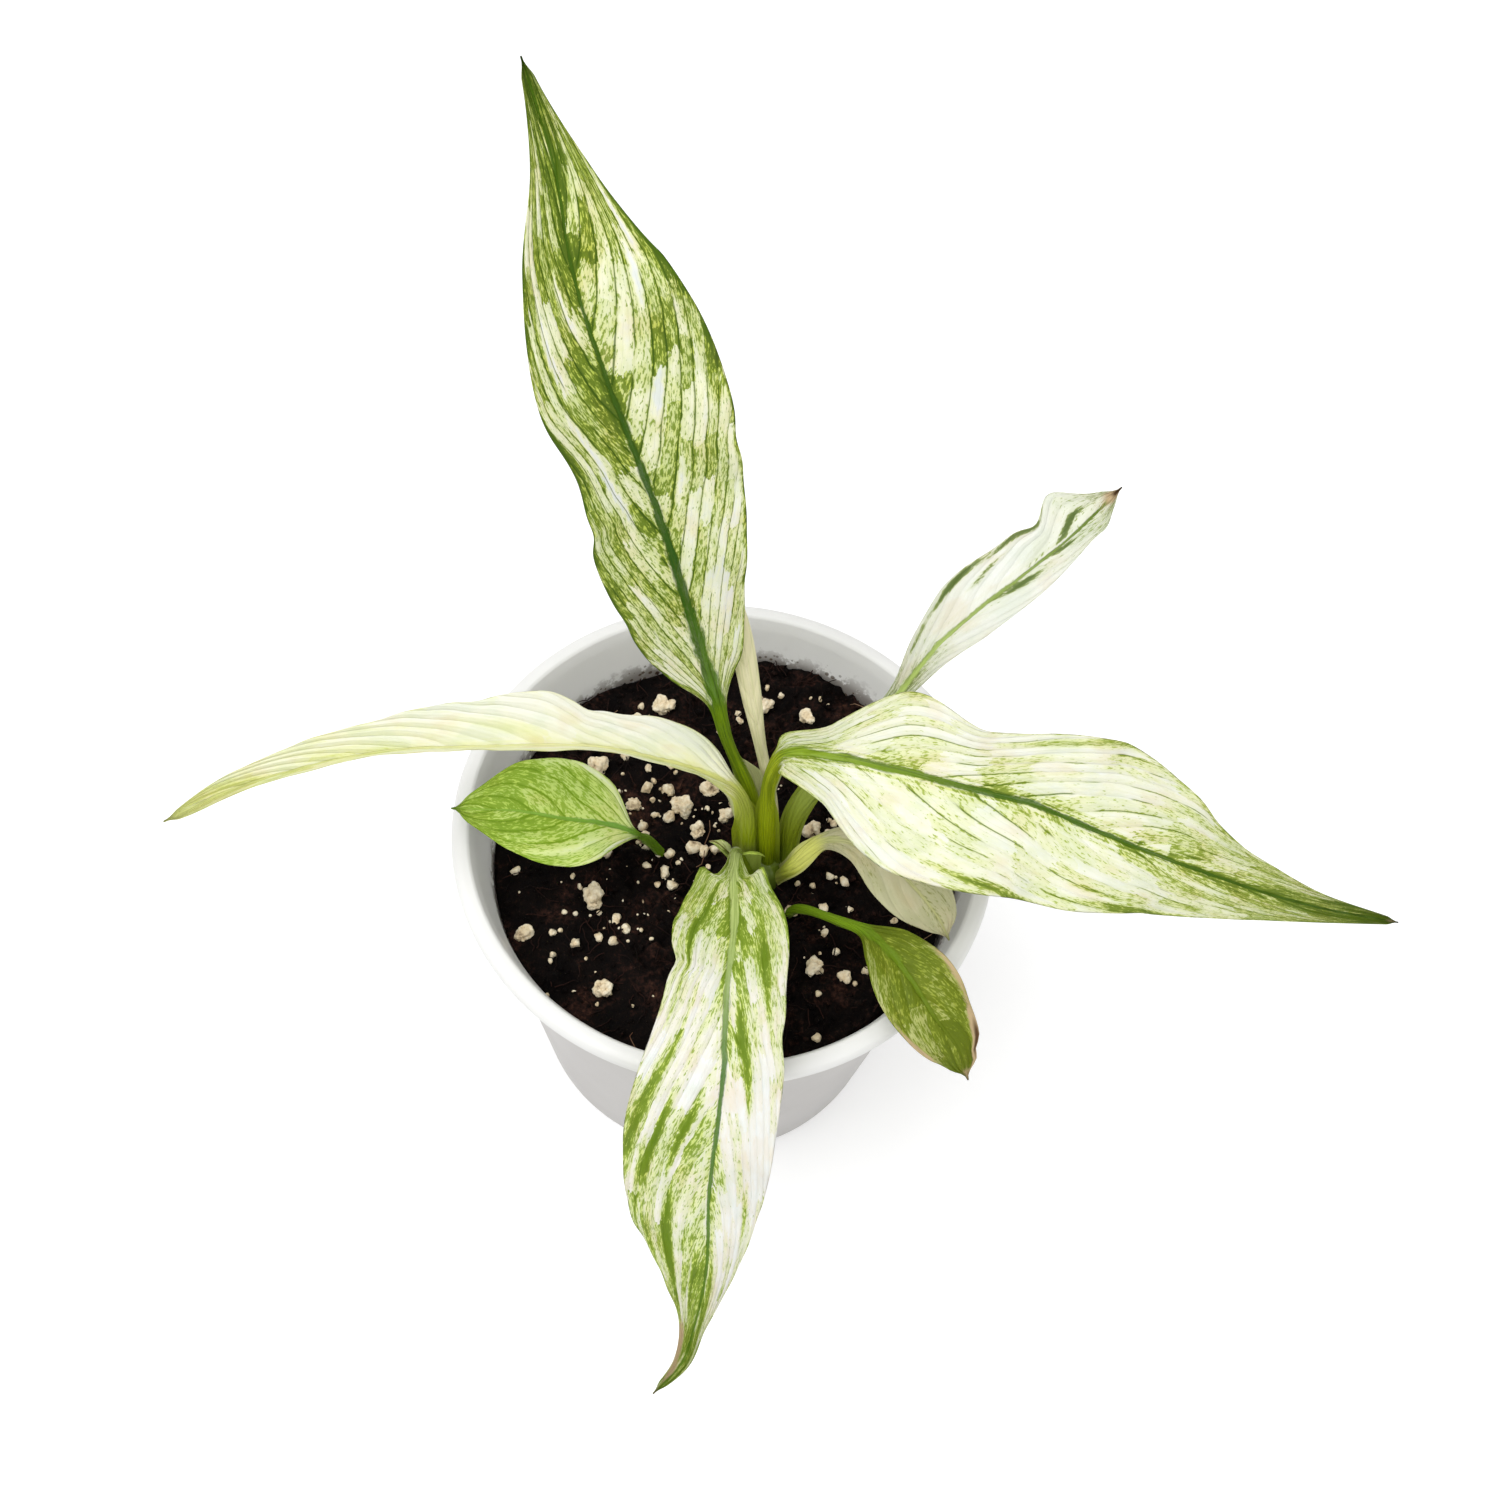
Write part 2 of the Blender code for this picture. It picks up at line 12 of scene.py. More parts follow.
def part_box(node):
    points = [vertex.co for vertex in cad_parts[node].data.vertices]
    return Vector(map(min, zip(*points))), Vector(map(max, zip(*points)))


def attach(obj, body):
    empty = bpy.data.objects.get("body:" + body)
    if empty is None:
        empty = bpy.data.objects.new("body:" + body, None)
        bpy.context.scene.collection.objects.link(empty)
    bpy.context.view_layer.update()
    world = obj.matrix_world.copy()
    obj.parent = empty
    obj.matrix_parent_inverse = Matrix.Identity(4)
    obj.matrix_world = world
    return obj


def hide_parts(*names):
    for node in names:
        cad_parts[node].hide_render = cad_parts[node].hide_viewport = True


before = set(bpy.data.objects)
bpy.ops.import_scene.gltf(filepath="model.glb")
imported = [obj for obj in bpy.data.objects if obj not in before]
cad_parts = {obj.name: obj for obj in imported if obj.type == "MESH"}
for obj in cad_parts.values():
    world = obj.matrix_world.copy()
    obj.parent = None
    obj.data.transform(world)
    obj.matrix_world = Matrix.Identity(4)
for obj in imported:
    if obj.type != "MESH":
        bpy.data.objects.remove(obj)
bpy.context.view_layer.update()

bl_info = {
    "name": "Potted Peace Lily", "version": (1, 0, 0), "blender": (4, 5, 0),
    "location": "View3D > Sidebar > Lily",
    "description": "Makes a variegated peace lily in a white nursery pot, with its stage",
    "category": "Add Mesh",
}

MM = 0.001
WELD = 2e-06

# Sizes below are in millimetres, from the middle of the pot's underside, Z up.

# The pot: its radii, its shoulder and its lip as (radius, height), its wall and its floor.
POT_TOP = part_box("pot")[1][2] / MM
FOOT_RADIUS, FOOT_ROUND, FOOT_CUT = 41.0, 1.2, 0.35
SHOULDER = (49.4, 75.0)
MOUTH_RADIUS = 51.4
LIP_RADIUS = 55.0
WALL_STEPS = (20.0, 40.0, 60.0)
LIP = (
    (51.4, 83.0), (52.2, 84.6), (53.6, 84.4), (54.1, 83.2), (54.8, 82.9), (LIP_RADIUS, 83.4),
    (LIP_RADIUS, 84.6), (54.5, 85.5), (53.4, POT_TOP), (51.9, POT_TOP),
)
WALL = 1.0
FLOOR = 1.4

# The mix: its gap to the wall, its underside, its mesh, its level, and its bumps and slope.
MIX_GAP, MIX_FOOT = 0.3, 1.8
MIX_RINGS, MIX_SIDES = 104, 400
SOIL_LEVEL = 74.0
SOIL_BUMP = 1.1
SOIL_SLOPE = 0.08
SOIL_CALM = 16.0
SOIL_SEED = 11
SOIL_WAVES = 7
CROWN_CENTRE = (8.7, -4.0)

# The crown and the sheath in front of it: how far each is moved from the crown's centre, its
# sides, its profile as (radius, height) and, for the sheath, its arc and its wall. Edges of the
# pot and the sheath that turn by more than their crease stay sharp.
CROWN_SHIFT = (-0.6, 0.3)
CROWN_SIDES = 96
CROWN = (
    (0.0, 69.0), (4.4, 69.0), (5.4, 71.0), (5.8, 73.5), (5.4, 75.5), (4.6, 77.2), (3.4, 78.4),
    (1.8, 79.0), (0.0, 79.2),
)
SHEATH_SHIFT = (-3.0, 1.2)
SHEATH_FIRST, SHEATH_SWEEP = math.radians(246), math.radians(58)
SHEATH_SIDES = 40
POT_CREASE, SHEATH_CREASE = math.radians(50), math.radians(60)
SHEATH_WALL = 0.55
SHEATH = (
    (4.6, 74.6), (4.4, 77.0), (4.0, 80.0), (3.7, 83.5), (3.8, 86.0), (4.3, 87.6), (5.2, 88.3),
)

# The stage, in metres: each lamp's name, place and width, what they face, and the camera.
LAMPS = (("key", (-0.35, -0.15, 0.95), 0.9), ("fill", (0.55, -0.55, 0.6), 0.8))
LAMP_AIM = (0, 0, 0.1)
CAMERA_PLACE = (0.0033, -0.1584, 0.3704)
CAMERA_TURN = ((0.9938, -0.1115, 0.0), (0.0948, 0.8455, -0.5255), (0.0586, 0.5222, 0.8508))
SENSOR_WIDTH = 36.0
FLOOR_SPAN = 3.0
FLOOR_DROP = 0.0002


def tint(red, green, blue):
    """A colour given as a paint chart gives it, 0 to 255, made linear."""
    parts = []
    for part in (red, green, blue):
        part /= 255.0
        parts.append(part / 12.92 if part <= 0.04045 else ((part + 0.055) / 1.055) ** 2.4)
    return tuple(parts)


# Smaller grains that lie on the mix, as (x, y, radius).
SMALL_GRAINS = (
    (-4.4, 9.6, 0.8), (-4.6, 0.2, 0.7), (-16.3, 11.3, 0.7), (-0.2, 33.7, 0.8), (8.8, 39.3, 0.8),
    (-30.7, -17.3, 0.7), (-28.4, -17.4, 0.6), (-23.6, -16.8, 0.8), (-31.3, -36, 0.6),
    (-9.6, -15.8, 0.6), (-30.3, -8.7, 0.6), (16.1, -6.7, 0.6), (19.2, -6.7, 0.7), (22.7, 8.2, 0.9),
    (25.1, -20.7, 0.9), (22.2, -30.7, 0.8), (36.2, -14, 0.7),
)
SMALL_GRAIN_COUNT = 250
# The half-width of a large grain as a share of its box. Small grains are scattered this far out,
# every second one this near, this clear of the crown, and this large at least and beyond that.
GRAIN_SHARE = 0.56
SCATTER_REACH, SCATTER_NEAR, SCATTER_CLEAR = 46.0, 24.0, 10.0
SCATTER_LEAST, SCATTER_MORE = 0.25, 1.15
SCATTER_SEED = SOIL_SEED + 5


# Each leaf: stations along its midrib as (x, y, z, left half-width, right half-width, fold in
# degrees), the way its face looks at foot and tip, the stalk's half-thickness, the station where
# the blade starts and the wave of its margin as (height, pitch, turn). What only some leaves have:
# "notches" in the margin as (share of length, side, half-length, depth as a share of the width),
# "patches" of more or less green as (share of length, across from -1 to 1, half-width over the
# veins, half-length across, amount), and "dry" tissue as (share of length, across, half-length,
# half-width across, amount). "wash" is how green the leaf is at (share of length, left, right).
LEAVES = {
    "leaf_tall": {
        "face": ((0.2, -0.8, 0.6), (0.1, -0.7, 0.7)), "stalk": 1.6, "blade_from": 3,
        "stations": (
            (7.1, -0.4, 78, 1.5, 1.5, 0), (4.6, 2.2, 92, 1.5, 1.5, 0), (-2, 6, 110, 1.3, 1.3, 0),
            (-4, 8, 117, 2, 2, 10), (-7, 11, 126, 8, 7, 20), (-12, 15, 142, 13, 12, 24),
            (-17, 19, 157, 14, 16, 24), (-21, 21, 169, 11.5, 18, 22), (-26, 24, 182, 12.5, 19, 20),
            (-32, 30, 199, 8, 14.5, 18), (-35, 37, 210, 4, 5.5, 14), (-39, 45, 216, 1.6, 1.8, 8),
            (-42, 51, 219, 0.5, 0.5, 0),
        ),
        "wave": (0.7, 24.0, 0.4),
        "notches": ((0.545, -1, 3.0, 0.07), (0.6, 1, 3.0, 0.03), (0.42, -1, 3.0, 0.04)),
        "wash": (
            (0.0, 0.45, 0.45), (0.26, 0.38, 0.37), (0.34, 0.38, 0.32), (0.45, 0.46, 0.32),
            (0.55, 0.48, 0.34), (0.66, 0.47, 0.4), (0.76, 0.41, 0.41), (0.86, 0.46, 0.48),
            (0.92, 0.52, 0.52), (1.0, 0.64, 0.64),
        ),
        "patches": (
            (0.57, -0.5, 2.0, 0.14, -0.5), (0.725, -0.66, 2.0, 0.09, -0.55),
            (0.77, -0.3, 2.4, 0.1, -0.5), (0.64, -0.62, 2.0, 0.08, -0.35),
            (0.665, 0.4, 1.6, 0.08, -0.45), (0.79, 0.62, 1.8, 0.08, -0.45),
            (0.84, 0.82, 2.0, 0.06, -0.45), (0.56, 0.35, 1.6, 0.1, -0.35),
            (0.47, -0.66, 4.0, 0.22, -0.16), (0.72, 0.93, 12, 0.08, 0.22),
            (0.6, -0.93, 8, 0.07, 0.24), (0.82, 0.93, 8, 0.08, 0.2),
        ),
    },
    "leaf_right": {
        "face": ((-0.6, -0.35, 0.7), (0.1, -0.4, 0.9)), "stalk": 1.7, "blade_from": 3,
        "stations": (
            (9.3, -3.8, 78, 1.6, 1.6, 0), (8.2, -2.6, 92, 1.7, 1.7, 0), (8, 0, 104, 1.6, 1.6, 0),
            (10, 1, 112, 2.2, 2.5, 8), (19, -2, 118, 8, 9, 12), (30, -5, 121, 14.5, 17.5, 12),
            (44, -8, 122, 11, 19, 12), (55, -9, 121, 14, 18, 12), (66, -11, 118, 17, 16, 12),
            (75, -12, 115, 15.5, 13, 12), (93, -12, 107, 8, 8, 10), (110, -11, 99, 4, 4, 6),
            (137, -5, 84, 0.5, 0.5, 0),
        ),
        "wave": (0.9, 26.0, 2.0),
        "notches": ((0.245, -1, 5.0, 0.26), (0.46, -1, 4.0, 0.06), (0.62, 1, 3.0, 0.03)),
        "wash": (
            (0.0, 0.5, 0.5), (0.2, 0.33, 0.32), (0.26, 0.27, 0.24), (0.36, 0.27, 0.25),
            (0.5, 0.27, 0.26), (0.6, 0.26, 0.31), (0.68, 0.36, 0.38), (0.76, 0.43, 0.44),
            (0.82, 0.48, 0.48), (0.9, 0.56, 0.56), (1.0, 0.68, 0.68),
        ),
        "patches": (
            (0.5, -0.9, 5.0, 0.12, 0.26), (0.56, -0.74, 2.4, 0.1, 0.24),
            (0.44, -0.55, 2.0, 0.14, 0.16), (0.58, 0.76, 2.0, 0.1, 0.34),
            (0.6, 0.92, 7.0, 0.09, 0.28), (0.46, 0.93, 5.0, 0.09, 0.24),
            (0.36, 0.5, 1.6, 0.12, 0.18), (0.42, 0.86, 2.0, 0.09, 0.24),
            (0.68, -0.8, 5.0, 0.12, 0.14), (0.82, 0.25, 7.0, 0.2, 0.2),
        ),
        "dry": ((0.99, 0.0, 4, 1.0, 0.5),),
    },
    "leaf_front": {
        "face": ((0, -0.6, 0.8), (0, -0.7, 0.7)), "stalk": 1.4, "blade_from": 1,
        "stations": (
            (5.8, -7.4, 78, 1.3, 1.3, 0), (2.8, -8.2, 88, 1.1, 1.1, 3),
            (2.9, -13.3, 91.3, 2.2, 2.2, 8), (3, -16.3, 92.7, 3.6, 3.8, 12),
            (3.1, -17.8, 93.4, 5.2, 5.6, 14), (4, -27, 96, 9.7, 11.2, 16),
            (4, -42, 97, 11.2, 11.4, 14), (5, -55, 93, 11.2, 15.4, 12), (5, -63, 87, 11, 17, 12),
            (5, -73, 74, 10, 15, 12), (6, -84, 60, 5, 8, 10), (5, -91, 50, 2.2, 3, 8),
            (3.5, -96, 42, 1.6, 1.8, 5), (-1.5, -101, 34, 0.5, 0.5, 0),
        ),
        "wave": (0.8, 21.0, 1.0), "notches": ((0.31, 1, 2.0, 0.1), (0.4, -1, 3.0, 0.06)),
        "wash": (
            (0.0, 0.45, 0.45), (0.15, 0.5, 0.5), (0.24, 0.47, 0.48), (0.29, 0.44, 0.46),
            (0.32, 0.36, 0.26), (0.4, 0.24, 0.2), (0.47, 0.18, 0.27), (0.52, 0.17, 0.36),
            (0.6, 0.22, 0.36), (0.68, 0.18, 0.4), (0.76, 0.25, 0.44), (0.83, 0.46, 0.42),
            (1.0, 0.6, 0.5),
        ),
        "patches": (
            (0.415, -0.34, 4.6, 0.17, 0.66), (0.32, -0.65, 4.6, 0.14, 0.3),
            (0.25, 0.62, 3.4, 0.26, 0.34), (0.385, 0.6, 2.2, 0.14, 0.34),
            (0.525, 0.36, 2.2, 0.15, 0.62), (0.535, 0.66, 2.4, 0.12, 0.5),
            (0.49, 0.85, 3.6, 0.12, 0.28), (0.59, 0.84, 3.0, 0.09, 0.34),
            (0.705, 0.66, 4.4, 0.16, 0.6), (0.68, 0.9, 3.4, 0.08, 0.3),
            (0.78, 0.35, 3.0, 0.16, 0.35), (0.65, -0.72, 3.4, 0.09, 0.34),
            (0.84, -0.4, 7.0, 0.4, 0.24), (0.44, 0.3, 5.0, 0.3, -0.12),
        ),
        "dry": ((0.88, 0.85, 7, 0.35, 0.75), (0.95, 0.45, 5, 0.6, 0.6), (1.0, 0.0, 2, 1.0, 0.6)),
    },
    "leaf_left": {
        "face": ((0.5, 0.2, 0.8), (0, -0.1, 1)), "stalk": 1.7, "blade_from": 2,
        "stations": (
            (5.4, -3.6, 78, 1.6, 1.6, 0), (3.4, -2.2, 94, 2.2, 2.2, 0), (0, -1.5, 102, 2.4, 3, 12),
            (-6, -1.5, 107, 3.4, 6.8, 36), (-12, -2, 110, 5.8, 8, 46), (-23, -3, 114, 8, 7.4, 52),
            (-34, -5, 116, 9.6, 10.6, 54), (-46, -7, 116, 9, 10, 56), (-63, -9.5, 115, 6.5, 7, 56),
            (-79, -13, 111, 4.5, 5, 52), (-94, -17, 105, 2.8, 2.8, 40),
            (-105, -21, 99, 0.5, 0.5, 0),
        ),
        "wave": (0.5, 20.0, 0.0), "notches": ((0.4, 1, 2.0, 0.1),),
        "wash": (
            (0.0, 0.45, 0.4), (0.2, 0.5, 0.34), (0.35, 0.38, 0.22), (0.6, 0.36, 0.26),
            (0.8, 0.46, 0.36), (1.0, 0.62, 0.56),
        ),
        "patches": ((0.48, 0.3, 5, 0.3, 0.1), (0.62, 0.6, 4, 0.2, 0.08)),
    },
    "leaf_small_left": {
        "face": ((0.4, 0, 0.9), (0, -0.2, 1)), "stalk": 1.1, "blade_from": 2,
        "stations": (
            (-12, -1, 69, 1.1, 1.1, 0), (-15.5, -3, 79.5, 1.1, 1.1, 0),
            (-18.5, -5.7, 87, 1.6, 1.6, 8), (-24, -6, 90, 8, 9, 12), (-32, -7, 92, 11, 12, 12),
            (-41, -7, 93, 8.8, 10, 12), (-48, -7, 92, 4.4, 5.2, 8), (-54, -7, 91, 0.5, 0.5, 0),
        ),
        "wave": (0.3, 14.0, 0.0),
        "wash": (
            (0.0, 0.6, 0.6), (0.36, 0.34, 0.32), (0.46, 0.4, 0.42), (0.56, 0.46, 0.5),
            (0.7, 0.52, 0.53), (1.0, 0.58, 0.58),
        ),
        "patches": (
            (0.55, -0.62, 2.5, 0.2, -0.2), (0.46, 0.85, 4, 0.22, -0.15),
            (0.46, -0.9, 4, 0.2, -0.18), (0.62, 0.95, 8, 0.08, -0.14),
        ),
    },
    "leaf_back_right": {
        "face": ((-0.4, -0.4, 0.8), (-0.2, -0.5, 0.8)), "stalk": 1.1, "blade_from": 3,
        "stations": (
            (13.1, -2.8, 78, 1.4, 1.4, 0), (13.8, 1.4, 89, 1.8, 1.8, 0), (17, 5, 96, 1.7, 1.7, 0),
            (24.8, 12, 106, 1.5, 1.5, 4), (31, 17, 114, 2.2, 2, 8), (36, 22, 122, 5, 4, 16),
            (43, 27, 129, 8, 5.5, 18), (50, 32, 134, 7.5, 5.5, 18), (59, 39, 140, 6.5, 3.5, 14),
            (67, 48, 144, 0.5, 0.5, 0),
        ),
        "wave": (0.5, 18.0, 1.0),
        "notches": ((0.83, -1, 2.5, 0.18), (0.9, -1, 4.0, -0.5), (0.93, 1, 3.0, -0.4)),
        "wash": (
            (0.0, 0.5, 0.5), (0.42, 0.46, 0.46), (0.5, 0.32, 0.34), (0.62, 0.2, 0.22),
            (0.84, 0.22, 0.26), (0.94, 0.36, 0.34), (1.0, 0.4, 0.4),
        ),
        "patches": (
            (0.66, -0.88, 5.0, 0.09, 0.62), (0.71, -0.62, 1.6, 0.12, 0.55),
            (0.79, -0.92, 6.0, 0.07, 0.5), (0.55, -0.8, 3, 0.1, 0.3), (0.74, 0.2, 3, 0.2, 0.44),
            (0.88, -0.25, 2.0, 0.16, 0.55), (0.84, 0.15, 2.0, 0.14, 0.46),
        ),
        "dry": ((0.95, 0.0, 5, 1.0, 0.34), (1.0, 0.0, 3, 1.0, 1.2)),
    },
    "leaf_under_right": {
        "face": ((-0.5, -0.3, 0.8), (0, -0.3, 1)), "stalk": 1.1, "blade_from": 2,
        "stations": (
            (12.6, -6.6, 78, 1.3, 1.3, 0), (15, -8, 86, 1.8, 1.8, 0), (20, -5.5, 92, 1.8, 1.8, 4),
            (26, -7.5, 96, 4, 3.6, 12), (33, -11.5, 96.5, 6, 6.8, 12), (39, -16.5, 95, 6, 6.6, 10),
            (43, -20, 92.5, 4, 3.8, 6), (45.5, -23, 90, 0.5, 0.5, 0),
        ),
        "wave": (0.3, 16.0, 0.0),
        "wash": ((0.0, 0.5, 0.5), (0.4, 0.33, 0.33), (1.0, 0.33, 0.33)),
        "patches": ((0.52, 0.5, 4, 0.3, 0.06),),
    },
    "leaf_small_front_right": {
        "face": ((-0.4, 0.2, 0.9), (0.2, -0.4, 0.9)), "stalk": 1.0, "blade_from": 3,
        "stations": (
            (14, -12.5, 70, 1, 1, 0), (16.5, -15, 80, 1, 1, 0), (24, -21, 89, 1, 1, 0),
            (29, -24, 92, 1.6, 1.6, 6), (33, -28, 94, 5, 5, 14), (38, -34, 94, 8, 8, 14),
            (43, -40, 92, 7.5, 7.5, 12), (48, -44, 88, 5, 5, 8), (51, -48, 83, 0.5, 0.5, 0),
        ),
        "wave": (0.3, 14.0, 2.0), "notches": ((0.92, -1, 1.2, 0.2),),
        "wash": (
            (0.0, 0.8, 0.8), (0.45, 0.8, 0.76), (0.56, 0.64, 0.62), (0.7, 0.58, 0.54),
            (0.86, 0.62, 0.6), (1.0, 0.8, 0.8),
        ),
        "dry": (
            (0.7, -0.95, 9, 0.14, 0.6), (0.9, -0.88, 5, 0.22, 1.0), (0.82, 0.95, 7, 0.09, 0.7),
            (0.99, 0.0, 2.5, 1.0, 0.7),
        ),
    },
    "leaf_pale_behind": {
        "face": ((0.2, -0.8, 0.6), (0.1, -0.7, 0.7)), "stalk": 1.2, "blade_from": 5,
        "stations": (
            (10.6, -0.1, 78, 1.2, 1.2, 0), (8.6, 3.6, 91, 1.2, 1.2, 0),
            (5.2, 7.5, 104, 1.2, 1.2, 0), (2, 11.5, 117, 1.9, 2.1, 0),
            (-1, 15.5, 130, 1.9, 2.1, 0), (-3.5, 19, 141, 0.4, 0.4, 0),
        ),
        "wave": (0.0, 20.0, 0.0), "wash": ((0.0, 0.4, 0.4), (1.0, 0.3, 0.3)),
    },
    "sheath_curl": {
        "face": ((0.6, 0.2, 0.7), (0.2, 0, 1)), "stalk": 0.8, "blade_from": 1,
        "stations": (
            (3.6, -6, 76, 0.9, 0.9, 0), (2.2, -6.4, 81, 1.4, 1.4, 20),
            (0.6, -6.2, 85, 1.7, 1.7, 30), (-1.4, -5.6, 86.6, 1.2, 1.2, 20),
            (-2.8, -5, 85.6, 0.4, 0.4, 0),
        ),
        "wave": (0.1, 6.0, 0.0), "wash": ((0.0, 0.6, 0.6), (1.0, 0.4, 0.4)),
        "dry": ((1.0, 0.0, 2, 1.0, 0.6),),
    },
}
# Thin skins along a stalk, as (first mm, last mm, reach to the left, reach to the right).
SKINS = {
    "leaf_tall": ((14.0, 26.0, 0.3, 2.4),), "leaf_back_right": ((-7.0, 34.0, 0.7, 0.7),),
    "leaf_under_right": ((-7.0, 16.0, 0.8, 0.5),), "leaf_left": ((-7.0, 18.0, 1.4, 1.1),),
    "leaf_right": ((-7.0, 22.0, 0.8, 1.1),),
}
# Stalks that are flat straps: the way the strap faces at its foot, and how many mm up that holds.
STRAPS = {
    "leaf_left": ((0.25, -0.95, 0.2), 24.0), "leaf_right": ((-0.1, -0.95, 0.3), 26.0),
    "leaf_back_right": ((-0.2, -0.8, 0.5), 34.0),
}
# Blades whose base is swept back into ears, as (mm from the foot, reach, mm back at the margin).
EARS = {"leaf_front": (22.4, 1.6, 4.6), "leaf_right": (39.0, 4.0, 4.0)}

# The rule of a leaf: how deep its foot is rooted, how far the stalk takes to turn into a blade,
# half the thickness of blade and skin, the least half-width, how far before the tip the leaf
# thins and narrows and to what share, how far a skin takes to rise, fall and pale, how long a
# strap holds its turn, the second ripple's pitch and height as shares of the first's, how far the
# greens of the two halves blend, the step from one leaf's seed to the next, the pitch of the
# rings and the count of columns each side.
ROOT = 7.0
BLADE_BLEND = 12.0
BLADE_HALF = 0.17
SKIN_HALF = 0.12
EDGE_LEAST = 0.4
TIP_TAPER, TIP_LEAST = 6.0, 0.12
POINT_LENGTH, POINT_LEAST = 3.0, 0.3
SKIN_RISE, SKIN_FALL, SKIN_EASE = 5.0, 4.0, 0.25
STRAP_HOLD = 1.5
RIPPLE_PART, RIPPLE_SHARE = 0.43, 0.4
MIDRIB_BLUR = 0.16
SEED_STEP = 4.0
RING_PITCH = 0.8
COLUMNS = 24
VEIN_LEAN = 1.5
LEANS = {"leaf_front": 1.6, "leaf_small_left": 1.1}
QUILT, QUILT_WIDTH = 0.22, 12
# The rib, a groove above and a ridge below: how deep as a share of the stalk, its half-width at
# the tip, and how much wider it is at the foot.
RIB_ABOVE, RIB_BELOW = (0.28, 0.35, 0.6), (0.75, 0.55, 1.1)


def hermite(values, places, where):
    """A smooth track through values at places, read at where."""
    slopes = np.gradient(values, places, axis=0)
    index = np.clip(np.searchsorted(places, where, side="right") - 1, 0, len(places) - 2)
    span = places[index + 1] - places[index]
    t = ((where - places[index]) / span)[:, None]
    span = span[:, None]
    return (
        (2 * t**3 - 3 * t**2 + 1) * values[index]
        + (t**3 - 2 * t**2 + t) * slopes[index] * span
        + (3 * t**2 - 2 * t**3) * values[index + 1]
        + (t**3 - t**2) * slopes[index + 1] * span
    )


def unit(vectors):
    """Vectors at length one."""
    return vectors / np.linalg.norm(vectors, axis=-1, keepdims=True)


def bell(distance, width):
    """A smooth bump of height one, width wide."""
    return np.exp(-(distance / width) ** 2)


def plateau(distance, width):
    """Like a bell, with a flatter top and steeper sides."""
    return np.exp(-(distance / width) ** 4)


